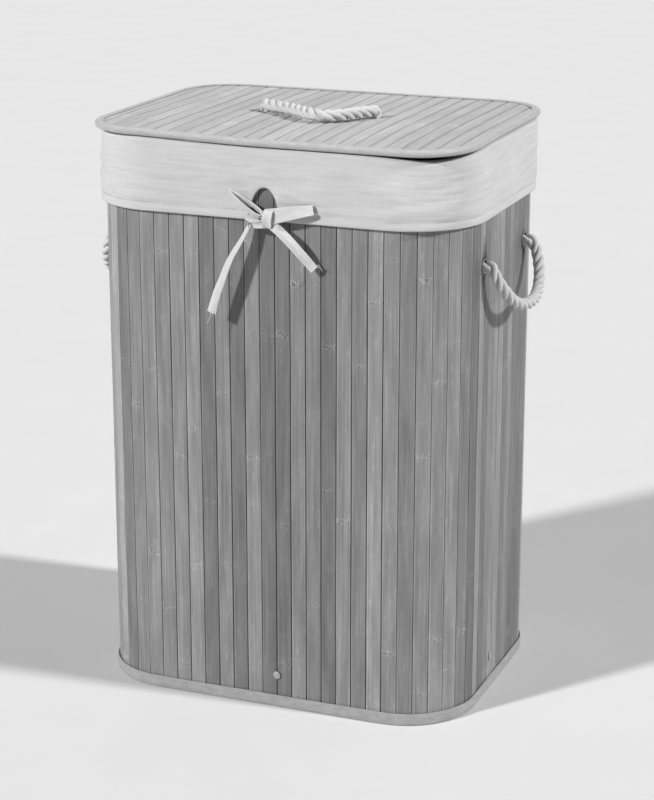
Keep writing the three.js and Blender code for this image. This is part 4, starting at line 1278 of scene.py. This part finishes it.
def base(board, binding):
    """The base board, the binding on its edge and the tabs that hold it to the walls."""
    gap = 0.3
    inset = -LAYER_IN + gap + BINDING + gap
    shape = Shape()
    plate(shape, BODY, inset, BOARD_BOTTOM, BOARD_TOP, 0.5)
    fixed_piece(shape, "base_board_panel", board, "basket", "board", "base_board")
    low = corner("base_edge_binding", 0).z
    high = corner("base_edge_binding", 1).z
    out = LAYER_IN - gap - HALF_BINDING
    lip = LAYER_IN - gap - 9
    bend = 1.2
    over, under = high - HALF_BINDING, low + HALF_BINDING
    line = [(lip, over), *arc((out - bend, over - bend), bend, 90, 0, 4),
            *arc((out - bend, under + bend), bend, 0, -90, 4), (lip, under)]
    shape = Shape()
    ring(shape, BODY, strip_section(line, BINDING), 7)
    fixed_piece(shape, "base_edge_binding_tape", binding, "basket", "binding", "base_edge_binding")
    for wall, (direction, _, aside) in WALLS.items():
        level = high + 0.7
        upright = LAYER_OUT - 0.4
        line = [(-40, level), (-20, level), (-8.6, level), (-5.6, level + 0.9),
                (upright, level + 4), (upright, level + 16), (upright, high + 36)]
        route = smooth_route([on_wall(wall, out, aside, up) for out, up in line], 2.5)
        shape = Shape()
        ribbon(shape, route, lambda share, d=direction: UP.cross(d), 32, 0.8)
        fixed_piece(shape, f"base_tab_{wall}_strip", binding, "basket", "binding", f"base_tab_{wall}")


def fasteners(rivet_metal, eyelet_metal):
    """The rivets that hold the base's tabs, and the eyelets in the side handles' holes."""
    inner = LAYER_OUT - 0.8 - 0.3
    head = [(3.7, 0.1), (4.15, 0.3), (4.3, 0.75), (4.15, 1.2), (3.7, 1.5), (3.1, 1.62), (2.85, 1.45),
            (2.6, 1.5), (1.8, 1.75), (0.9, 1.86), (0.05, 1.88)]
    washer = [(0.05, inner - 1.0), (4.4, inner - 1.0), (4.9, inner - 0.8), (5, inner - 0.4)]
    washer += [(4.6, inner)]
    for wall, (direction, reach, aside) in WALLS.items():
        shape = Shape()
        profile = [*washer, (2, inner), (2, 0.1), *head]
        turned(shape, profile, on_wall(wall, 0, aside, RIVET_HEIGHT), direction, sides=36)
        node = f"base_rivet_{wall}"
        fixed_piece(shape, f"{node}_domed", rivet_metal, "basket", "rivet", node)
    low = WRAP_OUT - 0.6
    flange = arc((EYELET_RADIUS + 1.15, low), 1.15, 180, 20, 9)
    profile = [(EYELET_RADIUS, LAYER_OUT - 0.7), *flange, (EYELET_RADIUS + 2.3, low - 0.3),
               (7.6, low - 0.3), (7.6, LAYER_OUT), (9.3, LAYER_OUT), (9.1, LAYER_OUT - 0.5),
               (8.6, LAYER_OUT - 0.7)]
    for wall, side, end in SIDE_HOLES:
        shape = Shape()
        turned(shape, profile, by_hole(wall, side, 0), WALLS[wall][0], sides=40, closed=True)
        node = f"{wall}_{end}_eyelet"
        fixed_piece(shape, f"{node}_ring", eyelet_metal, "basket", "eyelet", node)


# ---- Liner --------------------------------------------------------------------------------------


def cuff_stations():
    """Distances round the rim from the middle of the back, close together across the notch."""
    half = NOTCH_WIDTH / 2
    middle = BODY.length + NOTCH_MIDDLE
    steps = (11, 22, 34, 45, 56, 66, 75, 82, 87, 90)
    angles = [*(-step for step in reversed(steps)), 0, *steps]
    notch = [middle + half * math.sin(math.radians(angle)) for angle in angles]
    stations = []
    for begin, end in ((BODY.length / 2, notch[0]), (notch[-1], 1.5 * BODY.length)):
        count = round((end - begin) / 4)
        run = [begin + (end - begin) * i / count for i in range(count)]
        stations += run if not stations else [*notch, *run[1:]]
    return stations


def notch_rise(distance):
    """How far the notch lifts the cuff's lower edge, and how far inside the notch that is, 0 to 1."""
    share = abs(BODY.from_front(distance) - NOTCH_MIDDLE) / (NOTCH_WIDTH / 2)
    if share >= 1:
        return 0.0, 0.0
    return NOTCH_HEIGHT * (1 - share ** 2.3) ** 0.7, min(1, 4 * (1 - share))


def cuff_wrinkle(distance, height, drop):
    """How far the cuff's cloth stands out at a place; drop runs from 0 at the rim to 1 at the hem."""
    if not 0 < drop < 1:
        return 0
    place = BODY.point(distance)
    away = abs(BODY.from_front(distance) - NOTCH_MIDDLE)
    tilt = 0.12 * noise.noise(place / 160) * away
    long_fold = noise.noise(place / 85 + UP * ((height + tilt) / 9 + 3.1))
    short_fold = noise.noise(place / 30 + UP * (height / 4.5 + 7.7))
    slack = noise.noise(place / 46 + UP * (height / 60 + 1.3))
    gather = noise.noise(place / 20 + UP * (height / 6 + away / 26))
    gathered = 1.9 * math.exp(-away / 60) * gather
    envelope = math.sin(math.pi * drop ** 1.3) ** 0.7
    return envelope * (1.35 * long_fold + 0.55 * short_fold + 1.6 * slack + gathered)


def cuff_line(distance):
    """The cuff's cloth at a distance round: (out, up) from inside the rim to the back of the hem."""
    rise, inside = notch_rise(distance)
    hem = HEM_HEIGHT - (HEM_HEIGHT - 2.6) * inside
    bottom = CUFF_BOTTOM + rise
    around = BODY.from_front(distance)
    flare = SIDE_FLARE * math.exp(-(((around - SIDE_MIDDLE) / 120) ** 2))
    top = RIM_TOP - LINER / 2
    line = [(CUFF_LEG, top - 18), (CUFF_LEG, top - 9), (CUFF_LEG, top - 2.4)]
    line += arc((CUFF_LEG + 1.4, top - 1.4), 1.4, 180, 90, 3)
    line += [(-2.6, top + 0.1)]
    fold = 3.2
    line += arc((CUFF_OUT + flare - fold, top - fold), fold, 90, 0, 5)
    rows = 34
    high = top - fold - 1
    low = bottom + hem
    for i in range(rows + 1):
        drop = i / rows
        height = high + (low - high) * drop
        depth = (high - height) / (high - CUFF_BOTTOM - HEM_HEIGHT)
        out = CUFF_OUT + flare * (1 - drop) + 2.6 * math.sin(math.pi / 2 * min(depth, 1) ** 1.4)
        out += cuff_wrinkle(distance, height, depth)
        out -= 0.9 * math.exp(-(((1 - drop) * rows / 1.1) ** 2))
        out += (HEM_BACK + 2.4 - out) * inside * drop ** 5
        line.append((max(out, HEM_BACK + 0.5), height))
    place = BODY.point(distance)
    hem_out = HEM_OUT + 0.4 * noise.noise(place / 4.5) + 0.4 * noise.noise(place / 17)
    hem_out += (HEM_BACK + 2.2 - hem_out) * inside
    line += [(hem_out - 0.35, low - 0.08 * hem), (hem_out, low - 0.3 * hem)]
    line += [(hem_out + 0.1, low - 0.6 * hem)]
    half = (hem_out - HEM_BACK) / 2
    middle = (HEM_BACK + half, bottom + half + LINER / 2)
    line += arc(middle, half, 0, -180, 6)
    line += [(HEM_BACK, bottom + max(hem * 0.6, half + LINER))]
    line += [(HEM_BACK, bottom + max(hem - 0.5, half + 2))]
    return line


def liner_cuff(material):
    """The liner's cuff, folded over the rim and down the outside, with its hem and its notch."""
    stations = cuff_stations()
    rings = [
        [BODY.point(distance, *place) for place in strip_section(cuff_line(distance), LINER)]
        for distance in stations
    ]
    shape = Shape()
    shape.loft(rings, loop=True, places=[*stations, stations[0] + BODY.length])
    shape.warp(rim_sag)
    made = fixed_piece(shape, "liner_cuff_cloth", material, "basket", "cotton", "liner_cuff")


def hem_stitches(thread_material):
    """The stitches along the top of the cuff's hem, except across the notch."""

    def on_hem(distance):
        crease = cuff_line(distance)[HEM_CREASE]
        return crease[0] + LINER / 2, crease[1] - 0.9

    shape = Shape()
    for i in range(round(BODY.length / 3.6)):
        begin = i * 3.6
        if abs(BODY.from_front(begin) - NOTCH_MIDDLE) < NOTCH_WIDTH / 2 + 3:
            continue
        rings = []
        for share, size, sink in ((0, 0.5, 0.6), (0.5, 1, 0), (1, 0.5, 0.6)):
            distance = begin + 2.3 * share
            out, up = on_hem(distance)
            middle, outward = BODY.at(distance, out - 0.25 * sink)
            rings.append(circle(middle + UP * up, outward, UP, 0.24 * size))
        shape.loft(rings)
    shape.warp(rim_sag)
    fixed_piece(shape, "liner_hem_stitches", thread_material, "basket", "cotton")


def bag_inward(distance, height):
    """How far inwards the bag's cloth hangs from where it lies on the wall."""
    fold = noise.noise(Vector((distance / 26, height / 260, 6.1)))
    sag = noise.noise(Vector((distance / 70, height / 110, 2.2)))
    hang = math.sin(math.pi * min(max((BAG_TOP - height) / 560, 0), 1)) ** 0.5
    inward = hang * max(0, 3.0 * fold + 4.0 * sag + 1.6)
    here = BODY.point(distance, KNOT_MIDDLE)
    for wall, side, _ in SIDE_HOLES:
        knot = by_hole(wall, side, KNOT_MIDDLE)
        away = math.hypot(here.x - knot.x, here.y - knot.y, height - HANDLE_HEIGHT)
        inward = max(inward, 25.5 * math.exp(-((away / 21) ** 2)))
    return inward


def bag_rows(stations):
    """The bag's cloth in rows: down inside the wall, round the bend and in across the base."""
    floor_up = BAG_BOTTOM + LINER / 2
    bend = 9
    high = BAG_TOP - 8
    low = floor_up + bend
    count = 52
    heights = [BAG_TOP - 0.6, *(high - (high - low) * i / count for i in range(count + 1))]
    rings = [
        [BODY.point(d, BAG_MIDDLE - bag_inward(d, height), height) for d in stations]
        for height in heights
    ]
    for angle in (math.radians(30), math.radians(60), math.radians(90)):
        out = BAG_MIDDLE - bend * (1 - math.cos(angle))
        up = floor_up + bend * (1 - math.sin(angle))
        rings.append([BODY.point(d, out, up) for d in stations])
    edge = rings[-1]
    for share in (0.93, 0.86, 0.78, 0.69, 0.6, 0.5, 0.4, 0.3, 0.2, 0.1, 0.02):
        row = []
        for point in edge:
            x, y = point.x * share, point.y * share
            crease = abs(noise.noise(Vector((x / 45, y / 30, 4.4))))
            row.append(Vector((x, y, floor_up + 3.5 * crease * min(1, (1 - share) * 6))))
        rings.append(row)
    return rings


def liner_bag(material):
    """The liner's bag: a sheet that hangs inside the wall, over the rope knots and across the base."""
    stations = BODY.stations(6.5)
    rows = bag_rows(stations)
    rings = [[row[j] for row in rows] for j in range(len(stations))]
    shape = Shape()
    shape.loft(rings, loop=True, open_section=True, places=[*stations, stations[0] + BODY.length])
    middle = len(shape.points)
    inner = [i * len(rings[0]) + len(rings[0]) - 1 for i in range(len(stations))]
    shape.points.append(sum((shape.points[i] for i in inner), Vector()) / len(inner))
    for name in Shape.MARKS:
        shape.marks[name].append(0.0)
    for a, b in zip(inner, [*inner[1:], inner[0]]):
        shape.faces.append([a, b, middle])
        shape.flow.extend([(700, 0, 0), (700, 1, 0), (702, 0.5, 0)])
    shape.warp(rim_sag)
    made = shape.piece("liner_bag_cloth", material, sharp=80)
    thick = made.modifiers.new("cloth", "SOLIDIFY")
    thick.thickness = LINER * MM
    thick.offset = 0
    settle(made)
    belong(made, "basket", "cotton", "liner_bag")


# ---- Lid ----------------------------------------------------------------------------------------


def lid_panels(board, lining):
    """The lid's board and its lining."""
    for name, node, inset, material, slot in (
        ("lid_board_panel", "lid_board", 1.2, board, "board"),
        ("lid_lining_cloth", "lid_lining", 8.3, lining, "backing"),
    ):
        shape = Shape()
        plate(shape, LID, inset, corner(node, 0).z, corner(node, 1).z, 0.25)
        shape.warp(lid_sag)
        made = shape.piece(name, material)
        drill(made, [lid_hole(x) for x in LID_HOLES])
        belong(made, "lid", slot, node)


def lid_edge(binding, thread_material):
    """The tape round the lid's edge, where it overlaps itself, and its stitches above and below."""
    middle = (LID_TOP + LID_BOTTOM) / 2
    half = (LID_TOP - LID_BOTTOM) / 2
    bend = half - HALF_BINDING
    overlap = -80
    overlap_reach = 16

    def wrapped(distance, out, up):
        puff = 0.3 * noise.noise(LID.point(distance) / 18 + UP * up / 5)
        past = LID.from_front(distance) - overlap
        lap = 0.55 * (1 - past / overlap_reach) ** 0.5 if 0 < past < overlap_reach else 0
        if out > -2.5:
            return out + puff + lap, up + (0.25 * puff if up > middle else 0)
        return out, up + (lap + 0.25 * puff if up > middle else -lap)

    line = [(-8, LID_TOP - 0.4), (-6.4, LID_TOP - 0.1), (-4.4, LID_TOP - 0.05)]
    line += arc((-bend - HALF_BINDING, middle), bend + 0.35, 78, -78, 12)
    line += [(-4.4, LID_BOTTOM + 0.45), (-6.4, LID_BOTTOM + 0.4), (-8, LID_BOTTOM + 0.4)]
    shape = Shape()
    ring(shape, LID, strip_section(line, BINDING), step=4, change=wrapped)
    shape.warp(lid_sag)
    fixed_piece(shape, "lid_binding_tape", binding, "lid", "binding", "lid_binding")
    for label, up in (("top", LID_TOP + 0.25), ("bottom", LID_BOTTOM + 0.05)):
        place = (-6.3, up)
        shape = stitches(LID, lambda distance: place, spacing=4.3, length=3.0, radius=0.3, lean=1.0)
        shape.warp(lid_sag)
        fixed_piece(shape, f"lid_binding_stitches_{label}", thread_material, "lid", "binding")


def lid_straps(binding):
    """The cloth straps that hinge the lid: sewn to the back of the cuff and under the lid."""
    depth = BODY_DEPTH / 2
    level = RIM_TOP + 0.6
    line = [(6.6, CUFF_BOTTOM + 32), (6.4, CUFF_BOTTOM + 45), (5.2, CUFF_BOTTOM + 60)]
    line += [(4.4, level - 10), (4.9, level - 5), (6.3, level - 2.2), (6.6, level - 0.7)]
    line += [(out, level) for out in (5.6, 3, -3, -15, -25, -36)]
    for side, x in STRAP_PLACES.items():
        route = smooth_route([Vector((x, depth + out, up)) for out, up in line], 1.6)
        shape = Shape()
        ribbon(shape, route, lambda share: Vector((1, 0, 0)), STRAP_WIDTH, 0.6)
        made = shape.piece(f"lid_strap_{side}", binding)
        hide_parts(f"lid_strap_lower_{side}", f"lid_strap_upper_{side}")
        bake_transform(made)


# ---- The hamper ---------------------------------------------------------------------------------


def build():
    make_camera()
    rope_cotton = twisted_rope("rope_cotton", 0.58)
    tape = cotton("tape_cotton", 0.6, slub=0.6, yarn=0.5)
    side_handle("right", rope_cotton)
    side_handle("left", rope_cotton)
    lid_handle(rope_cotton)
    drawstring(tape)
    make_studio()
    make_floor()
    liner = cotton("liner_cotton", 0.56)
    binding = woven_tape("binding_tape", 0.36, contrast=0.14)
    lid_tape = woven_tape("lid_binding_tape", 0.44, contrast=0.1)
    backing = woven_tape("backing_cloth", 0.16, rib=0.9)
    thread_cotton = woven_tape("sewing_thread", 0.4, rib=0.5)
    # rim lightens the wall strips' edges: a painted highlight.
    wall_bamboo = bamboo("wall_bamboo", grey=0.19, contrast=0.42, grain=0.14, rim=0.25, roughness=0.5)
    # A rim below zero darkens the lid strips' edges towards the seams: painted shade.
    lid_wood = bamboo("lid_bamboo", grey=0.42, contrast=0.09, grain=0.08, rim=-0.9, roughness=0.55)
    board = fibre_board("fibre_board", 0.3)
    rope_knots(rope_cotton)
    wall_slats(wall_bamboo)
    wall_backing(backing)
    bottom_binding(binding, thread_cotton)
    top_binding(binding)
    seam_tape(binding)
    base(board, binding)
    rivet_metal = painted_metal("rivet_metal", grey=0.3, roughness=0.6, wear=0.3)
    eyelet_metal = painted_metal("eyelet_metal", grey=0.12, roughness=0.42, wear=0.6)
    fasteners(rivet_metal, eyelet_metal)
    liner_cuff(liner)
    hem_stitches(thread_cotton)
    liner_bag(liner)
    lid_slats(lid_wood)
    lid_panels(board, backing)
    lid_edge(lid_tape, thread_cotton)
    lid_straps(binding)


build()
